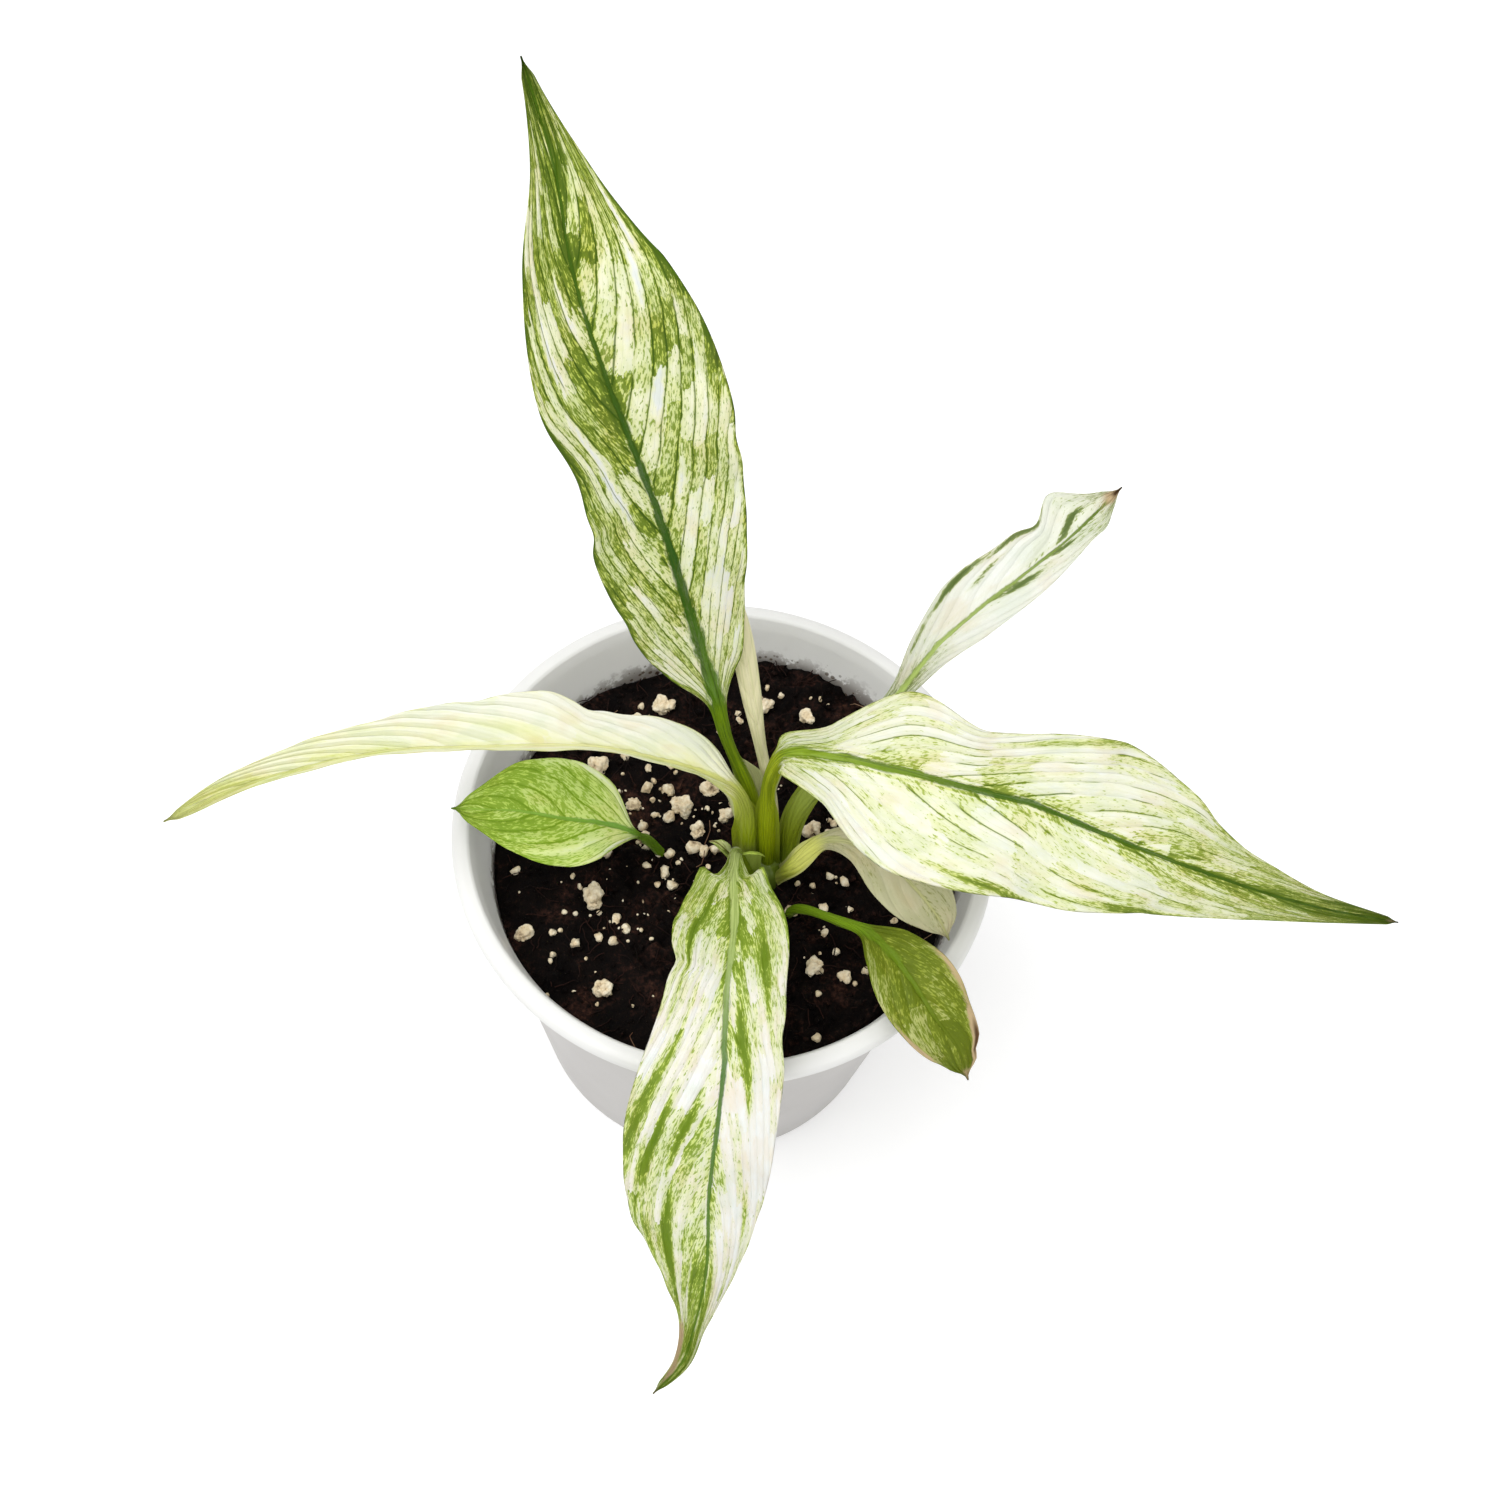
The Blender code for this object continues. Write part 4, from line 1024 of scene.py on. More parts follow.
# Each leaf's colours: its pale, lime, green and deep parts, its stalk at the foot and the neck,
# its rib at the foot, the middle and the tip, the stalk's thin skin, and the underside.
COLOUR_NAMES = (
    "pale", "lime", "green", "deep", "stalk_foot", "stalk_neck", "rib_foot", "rib_middle",
    "rib_tip", "skin", "under",
)
LEAF_COLOURS = {
    "leaf_tall": (
        (248, 248, 218), (206, 218, 98), (134, 162, 14), (58, 90, 0), (156, 176, 14),
        (118, 150, 14), (100, 140, 20), (36, 84, 6), (70, 104, 2), (206, 208, 150),
        (196, 206, 150),
    ),
    "leaf_right": (
        (239, 240, 218), (214, 222, 126), (164, 184, 36), (80, 108, 0), (160, 176, 16),
        (172, 186, 40), (150, 178, 44), (58, 96, 0), (66, 96, 0), (160, 176, 44), (226, 226, 200),
    ),
    "leaf_front": (
        (239, 236, 224), (212, 226, 116), (140, 170, 24), (92, 122, 0), (150, 172, 30),
        (190, 206, 96), (196, 212, 130), (76, 118, 56), (92, 126, 10), (200, 208, 150),
        (222, 220, 204),
    ),
    "leaf_left": (
        (246, 246, 232), (234, 237, 156), (214, 222, 112), (198, 202, 132), (160, 178, 22),
        (216, 222, 112), (214, 216, 128), (234, 233, 180), (214, 218, 140), (168, 182, 44),
        (240, 237, 214),
    ),
    "leaf_small_left": (
        (226, 238, 164), (190, 216, 92), (156, 190, 56), (116, 152, 20), (96, 140, 6),
        (112, 152, 30), (96, 144, 14), (112, 162, 62), (150, 188, 64), (130, 160, 80),
        (170, 190, 112),
    ),
    "leaf_back_right": (
        (234, 235, 222), (210, 215, 178), (156, 172, 76), (70, 96, 20), (150, 166, 30),
        (176, 194, 96), (204, 220, 128), (190, 212, 118), (96, 120, 30), (150, 164, 60),
        (228, 229, 214),
    ),
    "leaf_under_right": (
        (210, 205, 170), (198, 196, 146), (160, 162, 96), (124, 128, 70), (184, 196, 44),
        (218, 220, 116), (196, 204, 120), (206, 206, 150), (200, 200, 140), (206, 208, 130),
        (220, 214, 184),
    ),
    "leaf_small_front_right": (
        (212, 212, 156), (152, 164, 56), (116, 134, 14), (92, 108, 4), (104, 142, 4),
        (128, 164, 26), (92, 150, 34), (108, 140, 22), (98, 112, 8), (130, 160, 70),
        (140, 150, 84),
    ),
    "leaf_pale_behind": (
        (236, 232, 196), (222, 224, 156), (196, 206, 110), (170, 186, 86), (214, 212, 120),
        (236, 230, 190), (206, 210, 120), (222, 224, 150), (210, 214, 130), (226, 222, 170),
        (232, 228, 190),
    ),
    "sheath_curl": (
        (232, 238, 180), (190, 208, 110), (140, 166, 60), (96, 124, 30), (96, 124, 30),
        (160, 182, 84), (110, 130, 50), (120, 126, 56), (110, 96, 50), (150, 160, 90),
        (134, 142, 68),
    ),
}
# How each leaf's green is broken up, how wide its rib is in millimetres, and how green its margin.
STREAK_NAMES = (
    "panels", "drift", "halo", "dash", "spread", "veins", "vein_size", "lines", "rib_wide",
    "rib_thin", "edge",
)
LEAF_STREAKS = {
    "leaf_tall": (0.3, 0.16, 0.14, 0.95, 0.16, 0.74, 0.2, 0.75, 2.4, 0.22, 0.9),
    "leaf_right": (0.2, 0.1, 0.24, 0.72, 0.14, 0.5, 0.19, 0.7, 1.4, 0.26, 0.45),
    "leaf_front": (0.28, 0.12, 0.12, 0.8, 0.12, 0.3, 0.16, 0.35, 1.1, 0.26, 0.22),
    "leaf_left": (0.1, 0.1, 0.06, 0.15, 0.05, 0.06, 0.12, 0.22, 0.9, 0.3, 0.4),
    "leaf_small_left": (0.12, 0.1, 0.03, 1.0, 0.14, 0.7, 0.16, 0.3, 1.25, 0.22, 0.3),
    "leaf_back_right": (0.12, 0.14, 0.1, 0.6, 0.1, 0.06, 0.16, 0.2, 1.3, 0.3, 0.35),
    "leaf_under_right": (0.14, 0.1, 0.06, 0.4, 0.05, 0.2, 0.14, 0.4, 1.3, 0.3, 0.2),
    "leaf_small_front_right": (0.26, 0.14, 0.06, 1.0, 0.1, 0.45, 0.16, 0.35, 3.2, 0.25, 0.3),
    "leaf_pale_behind": (0.1, 0.1, 0.0, 0.2, 0.0, 0.1, 0.12, 0.35, 0.8, 0.2, 0.1),
    "sheath_curl": (0.2, 0.1, 0.0, 0.4, 0.0, 0.1, 0.12, 0.3, 0.6, 0.2, 0.2),
}


def leaf_finish(name, settings):
    """A leaf's own finish: pale ground, green streaks, veins, rib, stalk and dry tissue."""
    look = {key: tint(*colour) for key, colour in zip(COLOUR_NAMES, LEAF_COLOURS[name])}
    look.update(zip(STREAK_NAMES, LEAF_STREAKS[name]))
    seed = 1.0 + SEED_STEP * list(LEAVES).index(name)
    material, tree, shader = fresh_material(name)
    way, place, paint = (read(tree, label) for label in ("way", "place", "paint"))
    wash, dry, blade = split(paint)
    share, reach, under = split(place)
    veins = place_group(
        tree, "Leaf Veins", veins_group,
        {
            "Way": way, "Place": place, "Vein Pitch": settings.vein_pitch / MM,
            "Presence": look["veins"], "Vein Width": look["vein_size"], "Seed": seed,
            "Rib at Foot": look["rib_wide"], "Rib at Tip": look["rib_thin"],
        },
    )
    edge = step(reach, 0.93, 1.0)
    broken = step(noise(way, 0.16, 2.0), 0.36, 0.52)
    margin = edge * broken * (look["edge"] * 0.4)
    spread = veins["Near"] * look["spread"]
    wash = wash + margin + spread
    pattern = place_group(
        tree, "Variegation", variegation_group,
        {
            "Way": way, "Wash": wash, "Panels": look["panels"], "Drift": look["drift"],
            "Panel Width": settings.vein_pitch / MM, "Halo": look["halo"], "Dash": look["dash"],
            "Seed": seed,
        },
    )
    green = pattern["Green"]
    ground = ramp(
        green, (0.04, settings.white), (0.24, look["pale"]), (0.62, look["lime"]),
        (1.0, look["green"]),
    )
    fleck = ramp(green, (0.35, look["green"]), (0.75, look["deep"]))
    colour = blend(pattern["Dashes"] * 0.85, ground, fleck)
    cloud = noise(way * (0.13, 0.2, 0.03), 1.0, 3.0)
    colour = blend(step(cloud, 0.5, 0.35), colour, settings.cool, "MULTIPLY")
    warm = blend(step(cloud, 0.5, 0.68), colour, settings.blush, "MULTIPLY")
    colour = blend(veins["Veins"] * 0.8, warm, look["deep"])
    rib_stops = ((0.2, look["rib_foot"]), (0.44, look["rib_middle"]), (0.92, look["rib_tip"]))
    rib_colour = ramp(share, *rib_stops)
    worn = spread_over(pattern["Grain"], -0.5, 0.5, 1.0, 0.88)
    fibre = noise(way * (0.05, 2.6, 0.0), 1.0, 2.0)
    lines = step(fibre, 0.5, 0.58) * look["lines"]
    rib_colour = blend(lines, rib_colour, look["deep"])
    colour = blend(veins["Rib"] * worn, colour, rib_colour)
    stalk = blend(step(share, 0.05, 0.24), look["stalk_foot"], look["stalk_neck"])
    stalk = blend(lines * 0.6, stalk, look["deep"])
    stalk = blend(split(read(tree, "skin"))[0], stalk, look["skin"])
    shaded = 1.0 - step(split(way)[0], -1.0, 9.0)
    stalk = blend(shaded * 0.7, stalk, look["deep"])
    colour = blend(step(blade, 0.65, 0.25), colour, stalk)
    parched = dry + pattern["Grain"] * 0.35
    brown = ramp(dry, (0.35, settings.tan), (0.75, settings.tan), (1.05, settings.scorch))
    colour = blend(step(parched, 0.32, 0.62), colour, brown)
    colour = blend(under * 0.45, colour, look["under"])
    gloss = spread_over(noise(way, 0.6, 3.0), 0.3, 0.7, 0.34, 0.5) + under * 0.14
    dress(shader, colour, gloss, 0.18)
    pores = noise(way, 2.6, 3.0, 0.6)
    height = veins["Height"] + pores * 0.35
    bump(tree, shader, height, 0.00045, 0.7)
    let_light_through(tree, shader, colour, settings.light_through)
    return material


def pot_finish(settings):
    """Milky plastic: a bright rim, painted shade below the mix line for the dark mix seen through
    the wall, a painted lighter inside, and smears inside.
    """
    material, tree, shader = fresh_material("pot_plastic")
    position = on_object(tree)
    x, y, z = split(position)
    inner = split(read(tree, "inner"))[0]
    line = SOIL_LEVEL * MM
    slope = (x - CROWN_CENTRE[0] * MM) * SOIL_SLOPE
    level = join(x, y, z - slope)
    cloud = noise(position, 55.0, 4.0, 0.6)
    behind = (cloud - 0.5) * 0.006
    behind = split(level)[2] + behind
    # Painted shade: below the mix line the wall takes the greyer Filled Wall colour, standing for
    # the dark mix seen through the plastic.
    shade_below_mix = 1.0 - step(behind, line - 0.004, line + 0.002)
    colour = blend(shade_below_mix, settings.plastic, settings.shadowed)
    # Painted light: the inside of the wall is a little whiter than the outside, to lift the shade
    # inside the pot.
    colour = blend(inner * 0.9, colour, settings.inside)
    streaky = noise(position * (60.0, 60.0, 6.0), 1.0, 3.0)
    colour = blend(streaky * 0.1, colour, (0.45, 0.43, 0.4))
    dirt = place_group(
        tree, "Mix Smears", dirt_group,
        {"Position": level, "Height": line, "Reach": 0.007, "Seed": 0.4},
    )
    smear = dirt["Smear"] * inner
    specks = dirt["Specks"] * inner
    colour = blend(smear * 0.75, colour, settings.stain)
    colour = blend(specks, colour, settings.stain)
    rough = spread_over(cloud, 0.3, 0.7, 0.3, 0.42) + maths("MAXIMUM", smear, specks) * 0.4
    dress(shader, colour, rough)
    faint = noise(position * (1.0, 1.0, 0.25), 700.0, 2.0)
    bump(tree, shader, faint + smear * 3.0, 6e-05, 0.5)
    let_light_through(tree, shader, colour, 0.22)
    return material


def mix_finish(settings):
    """Dark peaty mix with reddish crumbs."""
    material, tree, shader = fresh_material("potting_mix")
    position = on_object(tree)
    large = noise(position, 120.0, 4.0, 0.6)
    fine = noise(position, 900.0, 4.0, 0.7)
    colour = ramp(
        large * 0.55 + fine * 0.45, (0.4, settings.darkest), (0.52, settings.dark),
        (0.6, settings.reddish), (0.76, settings.fleck),
    )
    dress(shader, colour, spread_over(fine, 0.3, 0.7, 0.75, 0.98), 0.08)
    bump(tree, shader, fine + large * 1.5, 0.0006, 0.8)
    return material


def strand_finish(name, light, dark):
    """Roots and peat fibres, lighter and darker along their length."""
    material, tree, shader = fresh_material(name)
    position = on_object(tree)
    patchy = noise(position, 160.0, 3.0)
    colour = blend(step(patchy, 0.35, 0.65), dark, light)
    dress(shader, colour, spread_over(patchy, 0.3, 0.7, 0.6, 0.85), 0.08)
    return material


def perlite_finish(settings):
    """Puffed, chalky grains with patches of mix stuck on them, and painted shade in patches and
    round their bubbles.
    """
    material, tree, shader = fresh_material("perlite_grain")
    position = on_object(tree)
    bubbles = cells(position, 1500.0)
    patches = noise(position, 420.0, 4.0, 0.65)
    # The colour runs from mix stuck on the grains, through painted shade, to their clean faces;
    # painted shade also lies towards the edges of the bubble cells.
    colour = ramp(
        patches, (0.3, settings.perlite_dirt), (0.44, settings.perlite_shade),
        (0.62, settings.perlite),
    )
    colour = blend(step(bubbles, 0.15, 0.75) * 0.3, colour, settings.perlite_shade)
    dress(shader, colour, spread_over(patches, 0.3, 0.7, 0.8, 0.98))
    height = bubbles * 0.6 + patches
    bump(tree, shader, height, 0.0005, 0.7)
    return material


# Between these heights, in metres, the crown goes from its foot's colour, which is painted shade at
# the mix, to its neck's.
CROWN_FADE = (0.072, 0.088)


def crown_finish(name, foot, neck, dark):
    """The crown's green, darkened by painted shade at the mix and streaked upwards."""
    material, tree, shader = fresh_material(name)
    position = on_object(tree)
    _, _, z = split(position)
    streaks = noise(position * (900.0, 900.0, 60.0), 1.0, 3.0)
    level = z + (streaks - 0.5) * 0.004
    # The darkest colour, at the bottom, is painted shade where the crown meets the mix.
    colour = ramp(
        spread_over(level, *CROWN_FADE, 0.0, 1.0), (0.0, dark), (0.35, foot), (0.9, neck),
    )
    colour = blend(step(streaks, 0.5, 0.7) * 0.35, colour, foot)
    dress(shader, colour, spread_over(streaks, 0.3, 0.7, 0.34, 0.5))
    bump(tree, shader, streaks, 0.0004, 0.6)
    return material


def floor_finish(settings):
    """A plain pale floor that goes white for the eye and keeps the shadow."""
    material, tree, shader = fresh_material("floor")
    dress(shader, (*settings.floor, 1.0), 0.9, 0.1)
    path = wires(add(tree, "ShaderNodeLightPath"))
    seen = maths("MAXIMUM", path["Is Camera Ray"], path["Is Glossy Ray"])
    seen = maths("MAXIMUM", seen, path["Is Transmission Ray"])
    white = add(
        tree, "ShaderNodeEmission",
        {"Color": (1.0, 1.0, 1.0, 1.0), "Strength": settings.floor_lift},
    )
    lit = add(tree, "ShaderNodeMixShader", {0: seen, 1: shader})
    both = add(tree, "ShaderNodeAddShader", {0: shader, 1: white})
    feed(both, lit, 2)
    feed(lit, tree.nodes["Material Output"], "Surface")
    return material


# --- geometry trees --------------------------------------------------------------------------


def new_tree(name, inputs):
    """A Geometry Nodes tree. Returns its tree, the wires of its inputs and its output node."""
    inputs = {"Geometry": "Geometry", **inputs, "Material": "Material"}
    return new_group(name, "GeometryNodeTree", inputs, {"Geometry": "Geometry"})


def finish_tree(tree, geometry, material, out):
    """End a tree in Realize Instances and Set Material."""
    real = wire(tree, "GeometryNodeRealizeInstances", {"Geometry": geometry})
    shown = add(tree, "GeometryNodeSetMaterial", {"Geometry": real, "Material": material})
    feed(shown, out, "Geometry")


def made_by(name, base, tree, values):
    """The plain mesh that a tree makes from base, which stays as it is."""
    carrier = bpy.data.objects.new(f"{name}_base", base)
    bpy.context.scene.collection.objects.link(carrier)
    modifier = carrier.modifiers.new(tree.name, "NODES")
    modifier.node_group = tree
    for item in tree.interface.items_tree:
        if item.in_out == "INPUT" and item.name in values:
            modifier[item.identifier] = values[item.name]
    graph = bpy.context.evaluated_depsgraph_get()
    mesh = bpy.data.meshes.new_from_object(carrier.evaluated_get(graph))
    carrier.modifiers.remove(modifier)
    bpy.data.objects.remove(carrier, do_unlink=True)
    mesh.name = name
    return mesh


def grow(base, tree, name, material, slot, values, *nodes, smooth=True):
    """Show what a tree makes from base as a piece that stands for CAD nodes."""
    mesh = made_by(name, base, tree, {**values, "Material": material})
    if smooth:
        mesh.shade_smooth()
    show(name, mesh, material, slot, *nodes)


def random_value(tree, low, high, seed):
    """A Random Value between two limits, which are numbers or vectors."""
    flat = isinstance(low, float)
    inputs = {2: low, 3: high} if flat else {0: low, 1: high}
    kind = "FLOAT" if flat else "FLOAT_VECTOR"
    return wire(
        tree, "FunctionNodeRandomValue", {**inputs, "Seed": seed}, 1 if flat else 0, data_type=kind,
    )


def copies(tree, points, copy, turn, size):
    """Real copies of a node's mesh or curve on points."""
    inputs = {"Points": points, "Instance": copy, "Rotation": turn, "Scale": size}
    placed = add(tree, "GeometryNodeInstanceOnPoints", inputs)
    return wire(tree, "GeometryNodeRealizeInstances", {"Geometry": placed})


def wander(here, scale, detail):
    """A random step in each direction, from a half to minus a half."""
    inputs = {"Vector": here, "Scale": scale, "Detail": detail}
    return wire(home(here), "ShaderNodeTexNoise", inputs, key=1) - (0.5, 0.5, 0.5)


def pot_tree():
    """Turns a wall's profile about Z and drills its drain holes."""
    tree, given, out = new_tree(
        "Turned Pot",
        {
            "Sides": 192, "Drain Holes": 6, "Drain Circle": 0.027, "Drain Radius": 0.0045,
            "Drain Turn": 0.565,
        },
    )
    count = wire(tree, "GeometryNodeAttributeDomainSize", {"Geometry": given["Geometry"]})
    around = given["Sides"] + 1.0
    grid = wire(tree, "GeometryNodeMeshGrid", {"Vertices X": count, "Vertices Y": around})
    index = wire(tree, "GeometryNodeInputIndex")
    row = maths("FLOOR", (index + 0.5) / around)
    turn = index - row * around
    angle = turn / given["Sides"] * math.tau
    spot = add(
        tree, "GeometryNodeSampleIndex", {"Geometry": given["Geometry"], "Index": row},
        data_type="FLOAT_VECTOR",
    )
    here = wire(tree, "GeometryNodeInputPosition")
    value = next(socket for socket in spot.inputs if socket.name == "Value" and socket.enabled)
    tree.links.new(here.socket, value)
    found = Wire(next(socket for socket in spot.outputs if socket.enabled))
    radius, _, height = split(found)
    x = radius * maths("COSINE", angle)
    y = radius * maths("SINE", angle)
    wall = add(tree, "GeometryNodeSetPosition", {"Geometry": grid, "Position": join(x, y, height)})
    wall = add(tree, "GeometryNodeMergeByDistance", {"Geometry": wall, "Distance": 1e-05})
    ring = add(
        tree, "GeometryNodeMeshCircle",
        {"Vertices": given["Drain Holes"], "Radius": given["Drain Circle"]},
    )
    turned = add(tree, "GeometryNodeTransform", {"Geometry": ring})
    feed(join(0.0, 0.0, given["Drain Turn"]), turned, "Rotation")
    drill = add(
        tree, "GeometryNodeMeshCylinder",
        {"Vertices": 40, "Radius": given["Drain Radius"], "Depth": 0.01},
    )
    drills = add(tree, "GeometryNodeInstanceOnPoints", {"Points": turned, "Instance": drill})
    drills = add(tree, "GeometryNodeRealizeInstances", {"Geometry": drills})
    drilled = add(tree, "GeometryNodeMeshBoolean", operation="DIFFERENCE", solver="EXACT")
    feed(wall, drilled, "Mesh 1")
    feed(drills, drilled, "Mesh 2")
    finish_tree(tree, drilled, given["Material"], out)
    return tree


def grain_tree():
    """Turns loose points into rough puffed grains of the size that each point says."""
    tree, given, out = new_tree(
        "Puffed Grains",
        {"Detail": 4, "Lumps": 2.1, "Lumps per Metre": 420.0, "Pits": 0.35, "Seed": 3},
    )
    size = wire(tree, "GeometryNodeInputNamedAttribute", {"Name": "size"}, data_type="FLOAT")
    ball = add(tree, "GeometryNodeMeshIcoSphere", {"Radius": 1.0, "Subdivisions": given["Detail"]})
    turn = random_value(tree, (0.0, 0.0, 0.0), (math.tau,) * 3, given["Seed"])
    squash = random_value(tree, (0.72, 0.72, 0.56), (1.2, 1.2, 0.95), given["Seed"])
    real = copies(tree, given["Geometry"], ball, turn, squash * join(size, size, size))
    here = wire(tree, "GeometryNodeInputPosition")
    facing = wire(tree, "GeometryNodeInputNormal")
    lumps = noise(here, given["Lumps per Metre"], 3.0) - 0.5
    lumps = lumps * given["Lumps"]
    pits = (cells(here, 1300.0) - 0.4) * given["Pits"]
    rise = (lumps + pits) * size
    offset = facing * join(rise, rise, rise)
    moved = wire(tree, "GeometryNodeSetPosition", {"Geometry": real, "Offset": offset})
    finish_tree(tree, moved, given["Material"], out)
    return tree


def crumble_tree():
    """Roughens the top of the mix."""
    inputs = {"Level": 0.0715, "Clods": 0.0062, "Crumbs": 0.003}
    tree, given, out = new_tree("Crumbly Top", inputs)
    here = wire(tree, "GeometryNodeInputPosition")
    _, _, z = split(here)
    top = step(z, given["Level"], given["Level"] + 0.001)
    clods = noise(here, 170.0, 3.0, 0.6) - 0.5
    crumbs = 0.45 - cells(here, 420.0)
    rise = clods * given["Clods"] + crumbs * given["Crumbs"]
    offset = join(0.0, 0.0, rise * top)
    moved = add(tree, "GeometryNodeSetPosition", {"Geometry": given["Geometry"], "Offset": offset})
    finish_tree(tree, moved, given["Material"], out)
    return tree


# What counts as the top of the mix: this high in metres, and facing up at least this much.
TOP_HEIGHT, TOP_FACING = 0.07, 0.35


def top_points(tree, given, density, seed):
    """Points scattered on the top of the mix only."""
    facing = wire(tree, "GeometryNodeInputNormal")
    _, _, up = split(facing)
    here = wire(tree, "GeometryNodeInputPosition")
    _, _, z = split(here)
    high = maths("GREATER_THAN", z, TOP_HEIGHT)
    level = maths("GREATER_THAN", up, TOP_FACING)
    made = add(
        tree, "GeometryNodeDistributePointsOnFaces",
        {"Mesh": given["Geometry"], "Selection": high * level, "Density": density, "Seed": seed},
    )
    return Wire(made.outputs["Points"])


def litter_tree():
    """Scatters loose crumbs over the top of the mix."""
    tree, given, out = new_tree(
        "Loose Crumbs",
        {
            "Per Square Metre": 300000.0, "Smallest": 0.0002, "Largest": 0.001,
            "Raggedness": 0.55, "Seed": 5,
        },
    )
    points = top_points(tree, given, given["Per Square Metre"], given["Seed"])
    chance = random_value(tree, 0.0, 1.0, given["Seed"]) ** 3.0
    size = spread_over(chance, 0.0, 1.0, given["Smallest"], given["Largest"])
    ball = add(tree, "GeometryNodeMeshIcoSphere", {"Radius": 1.0, "Subdivisions": 1})
    turn = random_value(tree, (0.0, 0.0, 0.0), (math.tau,) * 3, given["Seed"])
    shape = random_value(tree, (0.6, 0.6, 0.4), (1.5, 1.0, 0.9), given["Seed"])
    real = copies(tree, points, ball, turn, shape * join(size, size, size))
    here = wire(tree, "GeometryNodeInputPosition")
    shift = wander(here, 900.0, 1.0)
    reach = given["Raggedness"] * 0.001
    offset = shift * join(reach, reach, reach)
    moved = wire(tree, "GeometryNodeSetPosition", {"Geometry": real, "Offset": offset})
    finish_tree(tree, moved, given["Material"], out)
    return tree


def strand_tree():
    """Lays short curly strands on the top of the mix."""
    tree, given, out = new_tree(
        "Strands",
        {
            "Per Square Metre": 40000.0, "Length": 0.006, "Thickness": 0.00012, "Curl": 0.004,
            "Lift": 0.0006, "Seed": 7,
        },
    )
    points = top_points(tree, given, given["Per Square Metre"], given["Seed"])
    line = add(
        tree, "GeometryNodeCurvePrimitiveLine",
        {"Start": (-0.5, 0.0, 0.0), "End": (0.5, 0.0, 0.0)},
    )
    fine = add(tree, "GeometryNodeResampleCurve", {"Curve": line, "Count": 7})
    turn = random_value(tree, (-0.35, -0.35, 0.0), (0.35, 0.35, math.tau), given["Seed"])
    long = given["Length"] * random_value(tree, 0.35, 1.3, given["Seed"])
    real = copies(tree, points, fine, turn, join(long, long, long))
    here = wire(tree, "GeometryNodeInputPosition")
    shift = wander(here, 260.0, 2.0)
    curl = given["Curl"]
    offset = shift * join(curl, curl, curl * 0.5)
    offset = offset + join(0.0, 0.0, given["Lift"])
    bent = wire(tree, "GeometryNodeSetPosition", {"Geometry": real, "Offset": offset})
    section = add(
        tree, "GeometryNodeCurvePrimitiveCircle", {"Resolution": 4, "Radius": given["Thickness"]},
    )
    tube = add(
        tree, "GeometryNodeCurveToMesh",
        {"Curve": bent, "Profile Curve": section, "Fill Caps": True},
    )
    finish_tree(tree, tube, given["Material"], out)
    return tree


# --- settings --------------------------------------------------------------------------------


def colour_setting(name, description, default):
    """A colour that the user may change."""
    return bpy.props.FloatVectorProperty(
        name=name, description=description, default=default, subtype="COLOR", min=0.0, max=1.0,
    )


def length_setting(name, description, default):
    """A length that the user may change, given in millimetres."""
    return bpy.props.FloatProperty(
        name=name, description=description, default=default * MM, unit="LENGTH", precision=5,
        min=0.0,
    )


def number_setting(name, description, default, subtype="NONE"):
    """A plain number that the user may change."""
    return bpy.props.FloatProperty(
        name=name, description=description, default=default, subtype=subtype, min=0.0,
    )


class StageSettings(bpy.types.PropertyGroup):
    """Floor, light and camera."""

    floor: colour_setting("Floor", "Colour of the floor", (0.8, 0.8, 0.8))
    floor_lift: number_setting("Floor Lift", "Light added to the floor for the eye only", 0.3)
    room: number_setting("Room Light", "Strength of the even light from all round", 0.76)
    key_power: number_setting("Key Light", "Power of the large soft lamp", 6.5, "POWER")
    fill_power: number_setting("Fill Light", "Power of the soft lamp opposite", 1.5, "POWER")
    lens: number_setting("Lens", "Focal length of the camera in millimetres", 38.59)


class PotSettings(bpy.types.PropertyGroup):
    """The nursery pot."""

    plastic: colour_setting("Plastic", "Milky plastic with nothing behind it", tint(240, 240, 238))
    # Painted shade: the greyer wall below the mix line, standing for the dark mix seen through the
    # plastic.
    shadowed: colour_setting(
        "Filled Wall", "The wall where the mix shows through", tint(206, 203, 200),
    )
    # Painted light: a little whiter than the plastic, to lift the shade inside the pot.
    inside: colour_setting("Inside", "The clean wall above the mix", tint(244, 244, 243))
    stain: colour_setting("Stain", "Smears of mix inside the wall", tint(92, 78, 66))
    sides: bpy.props.IntProperty(
        name="Sides", description="Flats round the wall", default=192, min=24,
    )
    drain_holes: bpy.props.IntProperty(
        name="Drain Holes", description="Holes in the floor", default=6, min=1,
    )
    drain_circle: length_setting("Drain Circle", "Radius of the ring of drain holes", 27.0)
    drain_radius: length_setting("Drain Radius", "Radius of each drain hole", 4.5)
    drain_turn: bpy.props.FloatProperty(
        name="Drain Turn", description="Where the first hole lies", default=math.tau * 0.54 / 6,
        unit="ROTATION",
    )


